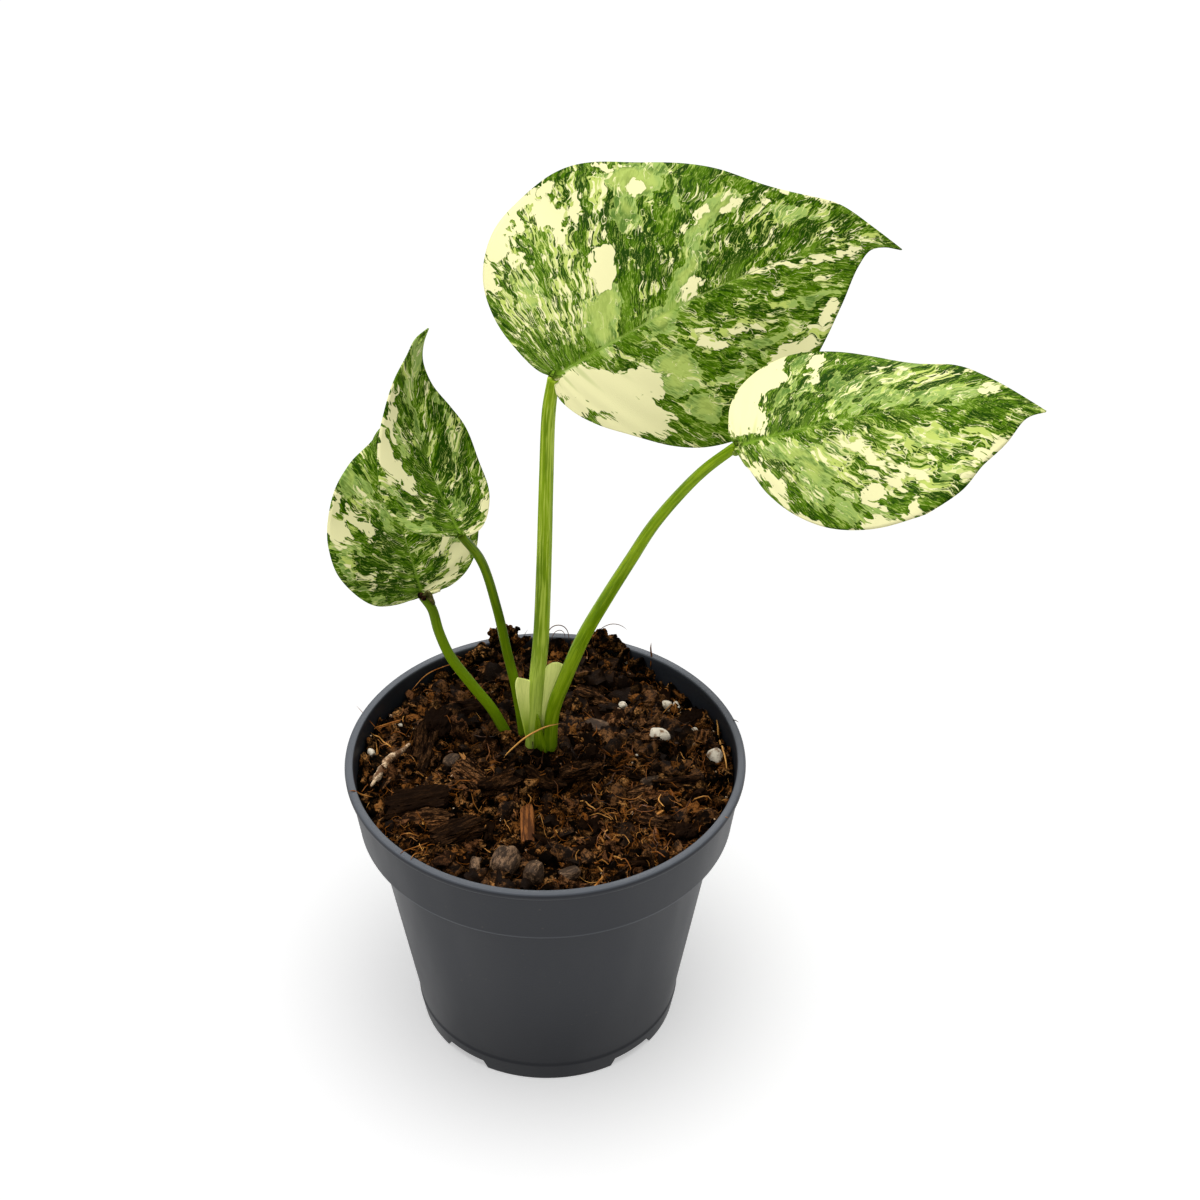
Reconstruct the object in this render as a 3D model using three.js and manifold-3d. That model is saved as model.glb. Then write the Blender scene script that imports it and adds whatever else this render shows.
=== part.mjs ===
import * as THREE from "three";
import { mergeVertices } from "three/addons/utils/BufferGeometryUtils.js";
import Module from "manifold-3d";

// A young aroid with four variegated leaves in a 12 cm nursery pot.
// Millimetres, +Z up. The origin is the middle of the pot's underside.

const wasm = await Module();
wasm.setup();

// Clearance between pieces that touch.
const GAP = 0.3;

// Pot: radii from the axis and heights above the ground.
const RIM_RADIUS = 60;
const POT_HEIGHT = 96.4;
const LIP_WIDTH = 2.6;
const LIP_HEIGHT = 2.4;
const LIP_OVERHANG = 1.0;
const COLLAR_BOTTOM_RADIUS = 56.3;
const COLLAR_BOTTOM_Z = 75.9;
const BODY_TOP_RADIUS = 51.9;
const BODY_BOTTOM_RADIUS = 40;
const BODY_BOTTOM_Z = 5;
const FOOT_BAND_RADIUS = 40.5;
const FOOT_RADIUS = 39.4;
const FOOT_RING_WIDTH = 1.8;
const FOOT_NOTCH_ANGLE = 40.5;
const FOOT_NOTCH_SPREAD = 22;
const FOOT_NOTCH_HEIGHT = 3.2;
const WALL = 1.1;
const PAD_RADIUS = 22;
const CHANNEL_HEIGHT = 3.6;
const DRAIN_RADIUS = 4;
const DRAIN_CIRCLE_RADIUS = 30;
const DRAIN_COUNT = 8;
const DRAIN_SIDES = 16;
const POT_SIDES = 60;

// Small steps, slants and rounds of the pot's section.
const PAD_SLANT = 1.2;
const RING_SLANT = 0.4;
const BAND_STEP = 0.8;
const FLOOR_ROUND = 1.4;
const SHOULDER_STEP = 0.8;
const SHOULDER_RISE = 0.5;
const LIP_ROUND = 0.4;
const LIP_CROWN = 0.9;
const LIP_SIDE = 1;
const NOTCH_SLANT = 0.8;
const NOTCH_OVERRUN = 1;

// Soil: its surface is lowest at the wall, mounded at the crown and heaped at the back.
const SOIL_EDGE_Z = 90.6;
const SOIL_MOUND = 2.6;
const SOIL_MOUND_RADIUS = 26;
const SOIL_MOUND_CENTRE = [-1, -2];
const SOIL_HEAP = 5.2;
const SOIL_HEAP_RADIUS = 27;
const SOIL_HEAP_CENTRE = [3, 56];
const SOIL_SIDE_GAP = 0.6;
const SOIL_RINGS = 11;
const SOIL_SIDES = 44;

// Its rolling relief, a sum of waves: height, turn of phase per mm along x and y, phase.
const RELIEF_WAVES = [
  [0.32, 0.21, 0.2, 0.9],
  [0.3, -0.27, 0.24, 2.1],
  [0.3, 0.47, -0.33, 1.3],
  [0.3, 0.38, 0.52, 1.6],
  [0.12, 0.93, 0.35, 0.2],
  [0.1, -0.55, 0.87, 1.7],
];

// Bark chips and crumbs strewn on it, with sizes from the smallest to the largest.
const STREWN_SEED = 11;
const CHIP_COUNT = 20;
const CHIP_LENGTH = [4, 9];
const CHIP_SLIMNESS = [0.4, 0.8];
const CHIP_HEIGHT = [1.8, 3.2];
const CHIP_TILT = [-12, 12];
const CHIP_SIDES = 5;
const CHIP_TAPER = 0.83;
const CRUMB_COUNT = 14;
const CRUMB_RADIUS = [1.4, 2.6];
const CRUMB_SUNK = 0.1;

// Crown: a short stem, oval in plan, that the four stalks stand on.
const CROWN_CENTRE = [-4.6, 12.4];
const CROWN_LENGTH = 24;
const CROWN_WIDTH = 14;
const CROWN_TOP_Z = 93;
const CROWN_BOTTOM_Z = 71;
const CROWN_TURN = 142;
const CROWN_SIDES = 20;
const CROWN_EDGE = 1.2;
const CROWN_TOP_SHARE = 0.88;

// The crown's swelling below the soil: share of its width at a share of its height.
const CROWN_SWELLING = [[0.5, 0], [0.86, 0.25], [1, 0.6]];

// Blades and stalks.
const BLADE_THICKNESS = 0.9;
const BLADE_ROWS = 22;
const BLADE_COLUMNS = 5;
const STALK_SIDES = 10;
const STALK_STEPS = 22;
const STALK_FOOT_Z = CROWN_TOP_Z + GAP;

// Where along a blade, as a share of its length, its midrib stops bowing and starts to hook,
// its tip starts to droop, and its folds die out.
const BOW_END = 0.75;
const HOOK_START = 0.85;
const DROOP_START = 0.72;
const FOLD_END = 1.05;
const FOLD_FADE = 0.5;

// The midrib's soft crease, mm, and how the waved margin narrows with the blade to the tip.
const CREASE = 1.5;
const MARGIN_GAIN = 1.35;
const MARGIN_POWER = 0.7;
const WAVE_FADE = 0.25;

// Side veins leave the midrib closer together near the stalk.
const VEIN_CROWDING = 1.5;

// Each leaf: the stalk's centre line from its foot to the blade, and the blade.
// A blade lies in its own plane: u runs from the stalk to the tip, v to its left.
// The outlines give (u, v) from the notch at the stalk round to the tip.
const LEAVES = [
  {
    name: "large",
    stalkPath: [[-3.7, 10], [-2.8, 9.9, 105.6], [-2, 9.7, 120.5], [-0.8, 9.6, 135.1], [0.4, 9.1, 164],
      [1.3, 8.7, 192.8], [2.3, 8.2, 217.3], [3.7, 8, 228.5]],
    stalkRadii: [2.5, 2.4, 2.4, 2.35, 2.2, 2.05, 1.95, 1.9],
    junction: [3.7, 8, 228.5],
    heading: 19,
    climb: 10,
    roll: 36,
    length: 108,
    halfWidth: 46,
    arch: 5,
    tipDrop: 6,
    bow: 8,
    hook: -6,
    slopes: [0.02, -0.12],
    bends: [-0.18, -0.25],
    wave: 1.6,
    waveCount: 3.2,
    wavePhase: 0.1,
    left: [[-3, 3], [-6, 10], [-8.5, 22], [-7, 35], [0, 46.5], [10, 54], [22, 58], [36, 56], [50, 50.5],
      [64, 41], [76, 31.5], [86, 24.5], [95, 18.5], [102, 10]],
    right: [[-1, -5], [1, -10], [6, -16], [13, -21.5], [24, -28.5], [36, -32.5], [48, -33], [60, -28],
      [72, -19.5], [83, -9.5], [92, -0.5], [98, 3.5], [103, 3.6]],
  },
  {
    name: "right",
    stalkPath: [[1.4, 8], [2.3, 6.3, 108.5], [6.6, 3.5, 125.5], [11.7, -0.1, 143],
      [18.1, -4.3, 160.2], [24.8, -8.9, 177.3], [30.9, -13.4, 192.8], [38.6, -18.6, 208.3],
      [44.7, -22.6, 218.8], [52.1, -26, 228.6]],
    stalkRadii: [2.05, 2.1, 2.1, 2.05, 1.95, 1.8, 1.65, 1.55, 1.5, 1.65],
    junction: [52.1, -26, 228.6],
    heading: 4,
    climb: 5,
    roll: 10,
    length: 85,
    halfWidth: 34,
    arch: 4,
    tipDrop: 3,
    bow: 2.5,
    hook: -1,
    slopes: [-0.02, -0.2],
    bends: [-0.15, -0.2],
    wave: 2.8,
    waveCount: 1.3,
    wavePhase: 0.72,
    left: [[-1, 4], [-0.5, 10], [1, 17], [5, 24], [11, 28.5], [20, 31], [32, 30.5], [43, 27.5], [53, 22.5],
      [62, 19.5], [70, 13], [77, 7.5]],
    right: [[1.5, -4], [3.5, -9.5], [6, -15], [11, -20.5], [18, -25], [27, -28], [38, -29.5], [48, -29],
      [57, -25.5], [64.5, -18], [72, -10.5], [79, -2]],
  },
  {
    name: "front_left",
    stalkPath: [[-6.4, 14.4], [-7.2, 13.6, 101.7], [-8.7, 12, 115.1], [-10.8, 8.6, 130.1],
      [-13.4, 1.4, 152.5], [-17.5, -7, 176.6], [-22.5, -12, 189.3]],
    stalkRadii: [1.4, 1.45, 1.45, 1.45, 1.4, 1.35, 1.3],
    junction: [-22.5, -12, 189.3],
    heading: 103,
    climb: 54,
    roll: 26,
    length: 58,
    halfWidth: 24,
    arch: -5,
    tipDrop: -2,
    bow: 6,
    hook: -4,
    slopes: [0.2, 0.2],
    bends: [-0.1, -0.1],
    wave: 0.8,
    waveCount: 2.3,
    wavePhase: 0.3,
    left: [[0, 2], [1, 6.5], [2, 13.5], [5, 19], [10, 22.5], [17, 23.5], [26, 21.5], [35, 18], [44, 13.5],
      [51, 8.5], [55.5, 6]],
    right: [[-0.5, -2], [1, -6.5], [5, -10], [12, -12.5], [20, -11.5], [29, -9], [36, -5], [43, 0], [50, 3],
      [54.5, 3]],
  },
  {
    name: "back_left",
    stalkPath: [[-11.3, 15.9], [-15.9, 15.5, 102.7], [-21.8, 15.2, 112.8], [-27.9, 14.8, 124.1],
      [-30.9, 14.5, 133.5], [-32.8, 14.1, 142.9], [-35.2, 14, 147.5]],
    stalkRadii: [1.65, 1.65, 1.65, 1.6, 1.55, 1.5, 1.4],
    junction: [-35.2, 14, 147.5],
    heading: 110,
    climb: 45,
    roll: 12,
    length: 52,
    halfWidth: 24,
    arch: 4,
    tipDrop: 2,
    bow: 4,
    hook: -7,
    slopes: [0.12, 0.12],
    bends: [-0.1, -0.1],
    wave: 0.8,
    waveCount: 2,
    wavePhase: 0.6,
    left: [[-0.5, 3.5], [-1, 9.5], [0, 16], [4.5, 22], [11, 26.5], [19, 27], [27, 25], [35, 21], [42, 13.5],
      [47.5, 4]],
    right: [[0.5, -2.5], [1, -8.5], [4, -14.5], [9, -19], [16, -21.5], [25, -21.5], [34, -18], [42, -12.5],
      [48, -7]],
  },
];

// Two pale wings of the sheath at the foot of the large leaf's stalk, as (x, z) outlines.
const WING_THICKNESS = 0.9;
const SHEATH_WINGS = [
  { y: 8, points: [[-3.6, 97], [-6, 97.3], [-7, 105], [-7.8, 114], [-8.1, 119.5], [-7.6, 122], [-6, 120.6],
    [-3, 120.6]] },
  { y: 10.1, points: [[-2, 102], [0.1, 102], [1.4, 108], [3.5, 114.5], [5.3, 120.5], [5, 124], [3.6, 125.4],
    [2, 125], [0.9, 123.2], [-1.2, 112]] },
];

// A withered nub on the back left stalk, just under its blade.
const NUB_RADIUS = 1.5;
const NUB_CENTRE = [-33.4, 13.2, 145.8];

// Larger bark on the soil: x, y, size along, across and up, turn in degrees.
const BARK_CHIPS = [
  [-5.4, -26, 17, 3.4, 2.2, 94],
  [-25.6, -30, 17, 7, 4.5, 38],
  [-38, -17, 18, 10, 3.6, 8],
  [-12.2, -42.5, 9, 8, 5, 20],
  [-3.8, -48, 6, 5, 4, 70],
  [-19.2, -44, 5, 5, 3.6, 10],
  [-46.5, 3, 14, 2.6, 2.4, 40],
  [9, -3, 13, 6, 4, 15],
  [-0.4, -7, 10, 6, 4, -25],
  [12, -20, 12, 6, 3, 60],
  [31, -23, 13, 6, 3, -30],
  [-33, 20, 13, 7, 3, 75],
];
const PERLITE_GRAINS = [
  [34, 14.5, 2.6], [38.8, 15, 1.6], [51, 4, 2.8], [37.5, 29, 1.6], [40, 28, 1.4], [24, 29, 1.4],
  [22.8, 25.6, 1.3], [30.2, 39, 2], [40.4, 36, 1.4], [-53, 10, 1.5], [50.6, 11, 1.4], [21, 51, 1.5],
];
const PERLITE_SUNK = 0.2;

// Clods that stand above the back rim: x, y, z, half width, depth and height, lean back in degrees.
const CLODS = [
  [-11.5, 53, 96.8, 4.2, 2, 8, 45],
  [18.6, 51.2, 97, 3.1, 2.3, 5.6, 12],
];

// Colours.
const POT_GREY = 0x3a3e44;
const SOIL_BROWN = 0x3b2417;
const CROWN_BROWN = 0x6b4a2c;
const STALK_GREEN = 0x6f962a;
const BLADE_GREEN = 0x8db04a;

const POT_FINISH = new THREE.MeshStandardMaterial({ color: POT_GREY, roughness: 0.45, metalness: 0 });
const SOIL_FINISH = new THREE.MeshStandardMaterial({ color: SOIL_BROWN, roughness: 0.95, metalness: 0 });
const CROWN_FINISH = new THREE.MeshStandardMaterial({ color: CROWN_BROWN, roughness: 0.9, metalness: 0 });
const STALK_FINISH = new THREE.MeshStandardMaterial({ color: STALK_GREEN, roughness: 0.4, metalness: 0 });
const BLADE_FINISH = new THREE.MeshStandardMaterial({ color: BLADE_GREEN, roughness: 0.4, metalness: 0 });

const radians = THREE.MathUtils.degToRad;
const clamp = THREE.MathUtils.clamp;

// A solid for joining and cutting, from a closed geometry.
function solidOf(geometry) {
  const bare = geometry.clone();
  bare.deleteAttribute("normal");
  bare.deleteAttribute("uv");
  const merged = mergeVertices(bare, 1e-5);
  const vertProperties = new Float32Array(merged.attributes.position.array);
  const triVerts = new Uint32Array(merged.index.array);
  return new wasm.Manifold(new wasm.Mesh({ numProp: 3, vertProperties, triVerts }));
}

// The geometry of a joined or cut solid.
function geometryOf(solid) {
  const { vertProperties, triVerts } = solid.getMesh();
  const geometry = new THREE.BufferGeometry();
  geometry.setAttribute("position", new THREE.BufferAttribute(new Float32Array(vertProperties), 3));
  geometry.setIndex(new THREE.BufferAttribute(new Uint32Array(triVerts), 1));
  geometry.computeVertexNormals();
  return geometry;
}

// A lathed solid about Z from [radius, height] points that start and end on the axis.
function lathed(profile, sides) {
  const points = profile.map(([radius, height]) => new THREE.Vector2(radius, height));
  return new THREE.LatheGeometry(points, sides).rotateX(Math.PI / 2);
}

// A repeatable draw from 0 to 1.
function seededDraw(seed) {
  let state = seed;
  return () => {
    state = (state * 1664525 + 1013904223) % 4294967296;
    return state / 4294967296;
  };
}

// The pot's wall: the outside going up, the lip, then the inside going down.
const INNER_CHANNEL_Z = CHANNEL_HEIGHT + WALL;
const INNER_COLLAR_RADIUS = RIM_RADIUS - LIP_WIDTH - LIP_ROUND / 2;
const INNER_STEP_Z = COLLAR_BOTTOM_Z + WALL;

function potProfile() {
  const collarTop = RIM_RADIUS - LIP_OVERHANG;
  const lipBottom = POT_HEIGHT - LIP_HEIGHT;
  const ringInside = FOOT_RADIUS - FOOT_RING_WIDTH;
  const shoulderZ = COLLAR_BOTTOM_Z - SHOULDER_RISE;
  return [
    [0, 0],
    [PAD_RADIUS, 0],
    [PAD_RADIUS + PAD_SLANT, CHANNEL_HEIGHT],
    [ringInside - RING_SLANT, CHANNEL_HEIGHT],
    [ringInside, 0],
    [FOOT_RADIUS, 0],
    [FOOT_BAND_RADIUS, BODY_BOTTOM_Z - BAND_STEP],
    [BODY_BOTTOM_RADIUS, BODY_BOTTOM_Z],
    [BODY_TOP_RADIUS, shoulderZ - SHOULDER_RISE],
    [BODY_TOP_RADIUS + SHOULDER_STEP, shoulderZ],
    [COLLAR_BOTTOM_RADIUS, COLLAR_BOTTOM_Z],
    [collarTop, lipBottom],
    [RIM_RADIUS - LIP_ROUND / 4, lipBottom + LIP_ROUND],
    [RIM_RADIUS, POT_HEIGHT - LIP_SIDE],
    [RIM_RADIUS - LIP_ROUND, POT_HEIGHT - LIP_ROUND / 4],
    [RIM_RADIUS - LIP_CROWN, POT_HEIGHT],
    [RIM_RADIUS - LIP_WIDTH + LIP_ROUND, POT_HEIGHT],
    [RIM_RADIUS - LIP_WIDTH, POT_HEIGHT - LIP_ROUND],
    [INNER_COLLAR_RADIUS, lipBottom],
    [COLLAR_BOTTOM_RADIUS - WALL, INNER_STEP_Z],
    [BODY_TOP_RADIUS - WALL, INNER_STEP_Z - WALL],
    [BODY_BOTTOM_RADIUS - WALL, INNER_CHANNEL_Z + FLOOR_ROUND],
    [BODY_BOTTOM_RADIUS - WALL - FLOOR_ROUND, INNER_CHANNEL_Z],
    [PAD_RADIUS + PAD_SLANT + RING_SLANT, INNER_CHANNEL_Z],
    [PAD_RADIUS + RING_SLANT, WALL],
    [0, WALL],
  ];
}

// The four cut-outs in the foot ring: boxes with slanted ends, tapering upwards.
function footNotch(angle) {
  const half = FOOT_RADIUS * Math.tan(radians(FOOT_NOTCH_SPREAD / 2));
  const shape = new THREE.Shape();
  shape.moveTo(-half - NOTCH_SLANT, -NOTCH_OVERRUN);
  shape.lineTo(half + NOTCH_SLANT, -NOTCH_OVERRUN);
  shape.lineTo(half - NOTCH_SLANT, FOOT_NOTCH_HEIGHT);
  shape.lineTo(NOTCH_SLANT - half, FOOT_NOTCH_HEIGHT);
  shape.closePath();
  const depth = FOOT_RING_WIDTH + 3 * NOTCH_OVERRUN;
  const notch = new THREE.ExtrudeGeometry(shape, { depth, bevelEnabled: false });
  notch.rotateX(Math.PI / 2);
  const inside = FOOT_RADIUS - FOOT_RING_WIDTH - NOTCH_OVERRUN - RING_SLANT;
  notch.translate(0, -inside * Math.cos(radians(FOOT_NOTCH_SPREAD / 2)), 0);
  return notch.rotateZ(radians(angle));
}

function potGeometry() {
  let pot = solidOf(lathed(potProfile(), POT_SIDES));
  for (const angle of [FOOT_NOTCH_ANGLE, -FOOT_NOTCH_ANGLE, 180 - FOOT_NOTCH_ANGLE, 180 + FOOT_NOTCH_ANGLE]) {
    pot = pot.subtract(solidOf(footNotch(angle)));
  }
  const drillLength = 2 * CHANNEL_HEIGHT;
  for (let hole = 0; hole < DRAIN_COUNT; hole += 1) {
    const angle = (2 * Math.PI * hole) / DRAIN_COUNT;
    const drill = new THREE.CylinderGeometry(DRAIN_RADIUS, DRAIN_RADIUS, drillLength, DRAIN_SIDES);
    drill.rotateX(Math.PI / 2);
    drill.translate(DRAIN_CIRCLE_RADIUS, 0, CHANNEL_HEIGHT);
    pot = pot.subtract(solidOf(drill.rotateZ(angle)));
  }
  return geometryOf(pot);
}

function soilRelief(x, y) {
  let relief = 0;
  for (const [height, alongX, alongY, phase] of RELIEF_WAVES) {
    relief += height * Math.sin(alongX * x + alongY * y + phase);
  }
  return relief;
}

// A smooth heap, 1 at its centre and 0 beyond its radius.
function heap(x, y, [centreX, centreY], radius) {
  const away = Math.hypot(x - centreX, y - centreY) / radius;
  return away < 1 ? (1 + Math.cos(Math.PI * away)) / 2 : 0;
}

function soilHeight(x, y) {
  const mound = SOIL_MOUND * heap(x, y, SOIL_MOUND_CENTRE, SOIL_MOUND_RADIUS);
  const back = SOIL_HEAP * heap(x, y, SOIL_HEAP_CENTRE, SOIL_HEAP_RADIUS);
  return SOIL_EDGE_Z + mound + back + soilRelief(x, y);
}

// The wall's inside radius at a height near the soil's surface.
function innerRadius(z) {
  const run = (z - INNER_STEP_Z) / (POT_HEIGHT - LIP_HEIGHT - INNER_STEP_Z);
  return THREE.MathUtils.lerp(COLLAR_BOTTOM_RADIUS - WALL, INNER_COLLAR_RADIUS, clamp(run, 0, 1));
}

// The soil: a relief on top, and below it the pot's inside, a gap smaller all round.
function soilBody() {
  const edge = [
    [PAD_RADIUS, WALL + GAP],
    [PAD_RADIUS + PAD_SLANT, INNER_CHANNEL_Z + GAP],
    [BODY_BOTTOM_RADIUS - WALL - FLOOR_ROUND - SOIL_SIDE_GAP, INNER_CHANNEL_Z + GAP],
    [BODY_BOTTOM_RADIUS - WALL - SOIL_SIDE_GAP, INNER_CHANNEL_Z + FLOOR_ROUND + GAP],
    [BODY_TOP_RADIUS - WALL - SOIL_SIDE_GAP, INNER_STEP_Z - WALL + GAP],
    [COLLAR_BOTTOM_RADIUS - WALL - SOIL_SIDE_GAP, INNER_STEP_Z + 2 * GAP],
  ];
  const positions = [0, 0, WALL + GAP];
  const ringAt = (radiusOf, heightOf) => {
    for (let side = 0; side < SOIL_SIDES; side += 1) {
      const angle = (2 * Math.PI * side) / SOIL_SIDES;
      const radius = radiusOf(angle);
      const x = radius * Math.cos(angle);
      const y = radius * Math.sin(angle);
      positions.push(x, y, heightOf(x, y));
    }
  };
  edge.forEach(([radius, height]) => ringAt(() => radius, () => height));
  for (let ring = SOIL_RINGS; ring > 0; ring -= 1) {
    const share = ring / SOIL_RINGS;
    ringAt(() => (innerRadius(SOIL_EDGE_Z - SOIL_SIDE_GAP) - SOIL_SIDE_GAP) * share, soilHeight);
  }
  positions.push(0, 0, soilHeight(0, 0));
  const rings = edge.length + SOIL_RINGS;
  const index = [];
  const at = (ring, side) => 1 + ring * SOIL_SIDES + (side % SOIL_SIDES);
  const last = positions.length / 3 - 1;
  for (let side = 0; side < SOIL_SIDES; side += 1) {
    index.push(0, at(0, side + 1), at(0, side));
    for (let ring = 0; ring < rings - 1; ring += 1) {
      index.push(at(ring, side), at(ring, side + 1), at(ring + 1, side));
      index.push(at(ring, side + 1), at(ring + 1, side + 1), at(ring + 1, side));
    }
    index.push(at(rings - 1, side), at(rings - 1, side + 1), last);
  }
  const geometry = new THREE.BufferGeometry();
  geometry.setAttribute("position", new THREE.Float32BufferAttribute(positions, 3));
  geometry.setIndex(index);
  return solidOf(geometry);
}

// A bark chip: a slab with few corners and a smaller top, sunk into the soil by half its height.
function barkChip([x, y, along, across, up, turn], tilt = 0) {
  const chip = new THREE.CylinderGeometry((CHIP_TAPER * along) / 2, along / 2, up, CHIP_SIDES);
  chip.rotateX(Math.PI / 2);
  chip.scale(1, across / along, 1);
  chip.rotateX(radians(tilt));
  chip.rotateZ(radians(turn));
  chip.translate(x, y, soilHeight(x, y));
  return solidOf(chip);
}

// A crumb or grain, turned differently at each place.
function grain(x, y, radius, sunk) {
  const ball = new THREE.IcosahedronGeometry(radius, 0);
  ball.rotateX(x);
  ball.rotateZ(y);
  ball.translate(x, y, soilHeight(x, y) + radius * sunk);
  return solidOf(ball);
}

function clod([x, y, z, halfWidth, halfDepth, halfHeight, lean]) {
  const lump = new THREE.IcosahedronGeometry(1, 1);
  lump.scale(halfWidth, halfDepth, halfHeight);
  lump.rotateX(-radians(lean));
  return solidOf(lump.translate(x, y, z));
}

// Whether a bit of the given size would lie clear of the crown and inside the wall.
function liesFree(x, y, size) {
  const toCrown = Math.hypot(x - CROWN_CENTRE[0], y - CROWN_CENTRE[1]);
  const free = toCrown > CROWN_LENGTH / 2 + size;
  return free && Math.hypot(x, y) + size < innerRadius(SOIL_EDGE_Z) - SOIL_SIDE_GAP;
}

// The crown, or with a clearance all round and straight walls above, the pocket that holds it.
function crownGeometry(clearance = 0) {
  const bottom = CROWN_BOTTOM_Z - clearance;
  const solidTop = [[1, CROWN_TOP_Z - CROWN_EDGE], [CROWN_TOP_SHARE, CROWN_TOP_Z]];
  const top = clearance > 0 ? [[1, POT_HEIGHT + SOIL_HEAP]] : solidTop;
  const swelling = CROWN_SWELLING.map(([width, share]) => [width, bottom + share * (CROWN_TOP_Z - bottom)]);
  const crown = lathed([[0, bottom], ...swelling, ...top, [0, top.at(-1)[1]]], CROWN_SIDES);
  crown.scale(CROWN_LENGTH / 2 + clearance, CROWN_WIDTH / 2 + clearance, 1);
  crown.rotateZ(radians(CROWN_TURN));
  return crown.translate(CROWN_CENTRE[0], CROWN_CENTRE[1], 0);
}

// One bit strewn by the draw: a chip or a crumb, or nothing where there is no room for it.
function strewnBit(draw, isChip) {
  const between = ([low, high]) => low + (high - low) * draw();
  const angle = 2 * Math.PI * draw();
  const radius = RIM_RADIUS * Math.sqrt(draw());
  const x = radius * Math.cos(angle);
  const y = radius * Math.sin(angle);
  const size = between(isChip ? CHIP_LENGTH : CRUMB_RADIUS);
  if (!liesFree(x, y, isChip ? (2 * size) / 3 : size)) {
    return undefined;
  }
  if (!isChip) {
    return grain(x, y, size, CRUMB_SUNK);
  }
  const chip = [x, y, size, size * between(CHIP_SLIMNESS), between(CHIP_HEIGHT), 360 * draw()];
  return barkChip(chip, between(CHIP_TILT));
}

function soilGeometry() {
  const bits = BARK_CHIPS.map((chip) => barkChip(chip));
  bits.push(...CLODS.map((lump) => clod(lump)));
  bits.push(...PERLITE_GRAINS.map(([x, y, radius]) => grain(x, y, radius, PERLITE_SUNK)));
  const wanted = bits.length + CHIP_COUNT + CRUMB_COUNT;
  const draw = seededDraw(STREWN_SEED);
  while (bits.length < wanted) {
    const bit = strewnBit(draw, bits.length < wanted - CRUMB_COUNT);
    if (bit) {
      bits.push(bit);
    }
  }
  const soil = bits.reduce((joined, bit) => joined.add(bit), soilBody());
  return geometryOf(soil.subtract(solidOf(crownGeometry(GAP))));
}

// The axes of a blade's plane: towards the tip, to its left, and up from its face.
function bladeFrame({ heading, climb, roll }) {
  const yaw = radians(heading);
  const pitch = radians(climb);
  const turn = radians(roll);
  const reach = Math.cos(pitch);
  const along = new THREE.Vector3(reach * Math.cos(yaw), reach * Math.sin(yaw), Math.sin(pitch));
  const level = new THREE.Vector3(-Math.sin(yaw), Math.cos(yaw), 0);
  const across = level.applyAxisAngle(along, turn);
  const up = new THREE.Vector3().crossVectors(along, across);
  return { along, across, up };
}

// How far the midrib bows sideways in the blade's plane, with a hooked tip.
function midribSide({ length, bow, hook }, u) {
  const share = clamp(u / length, 0, 1);
  const bowed = bow * Math.sin((Math.PI / 2) * clamp(share / BOW_END, 0, 1));
  return bowed + hook * clamp((share - HOOK_START) / (1 - HOOK_START), 0, 1) ** 2;
}

// Height of a blade above its plane: arched along the midrib, folded, bent and waved across it.
function bladeHeight(leaf, u, v) {
  const share = u / leaf.length;
  const held = clamp(share, FOLD_END - 1.3, FOLD_END);
  const arched = leaf.arch * 4 * held * (1 - held);
  const dropped = leaf.tipDrop * clamp((share - DROOP_START) / (1 - DROOP_START), 0, 1.2) ** 2;
  const side = v - midribSide(leaf, u);
  const away = Math.hypot(side, CREASE) - CREASE;
  const half = side > 0 ? 0 : 1;
  const fade = clamp((FOLD_END - share) / FOLD_FADE, 0, 1);
  const folded = fade * (leaf.slopes[half] * away + (leaf.bends[half] * away * away) / leaf.halfWidth);
  const turn = 2 * Math.PI * (leaf.waveCount * share + leaf.wavePhase + 0.25 * Math.sign(side));
  const reach = leaf.halfWidth * Math.min(1, MARGIN_GAIN * clamp(1 - share, 0.02, 1) ** MARGIN_POWER);
  const edge = clamp(Math.abs(side) / reach, 0, 1.1) ** 2;
  const waved = leaf.wave * Math.sin(turn) * edge * clamp((1 - share) / WAVE_FADE, 0, 1);
  return arched - dropped + folded + waved;
}

// A blade's point in the part's frame, raised by lift from its upper face.
function bladePoint(leaf, frame, u, v, lift) {
  const point = new THREE.Vector3(...leaf.junction);
  point.addScaledVector(frame.along, u);
  point.addScaledVector(frame.across, v);
  return point.addScaledVector(frame.up, bladeHeight(leaf, u, v) + lift);
}

// Points (u, v) from the midrib to the margin, one row for each side vein.
function bladeRows(leaf, outline) {
  const tip = [leaf.length, midribSide(leaf, leaf.length)];
  const knots = [[0, 0], ...outline, tip].map(([u, v]) => new THREE.Vector3(u, v, 0));
  const margin = new THREE.CatmullRomCurve3(knots, false, "centripetal");
  const rows = [];
  for (let row = 1; row < BLADE_ROWS; row += 1) {
    const share = row / BLADE_ROWS;
    const rib = leaf.length * share ** VEIN_CROWDING;
    const start = new THREE.Vector3(rib, midribSide(leaf, rib), 0);
    const end = margin.getPointAt(share);
    const points = [];
    for (let column = 0; column <= BLADE_COLUMNS; column += 1) {
      points.push(start.clone().lerp(end, column / BLADE_COLUMNS));
    }
    rows.push(points);
  }
  return rows;
}

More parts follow.
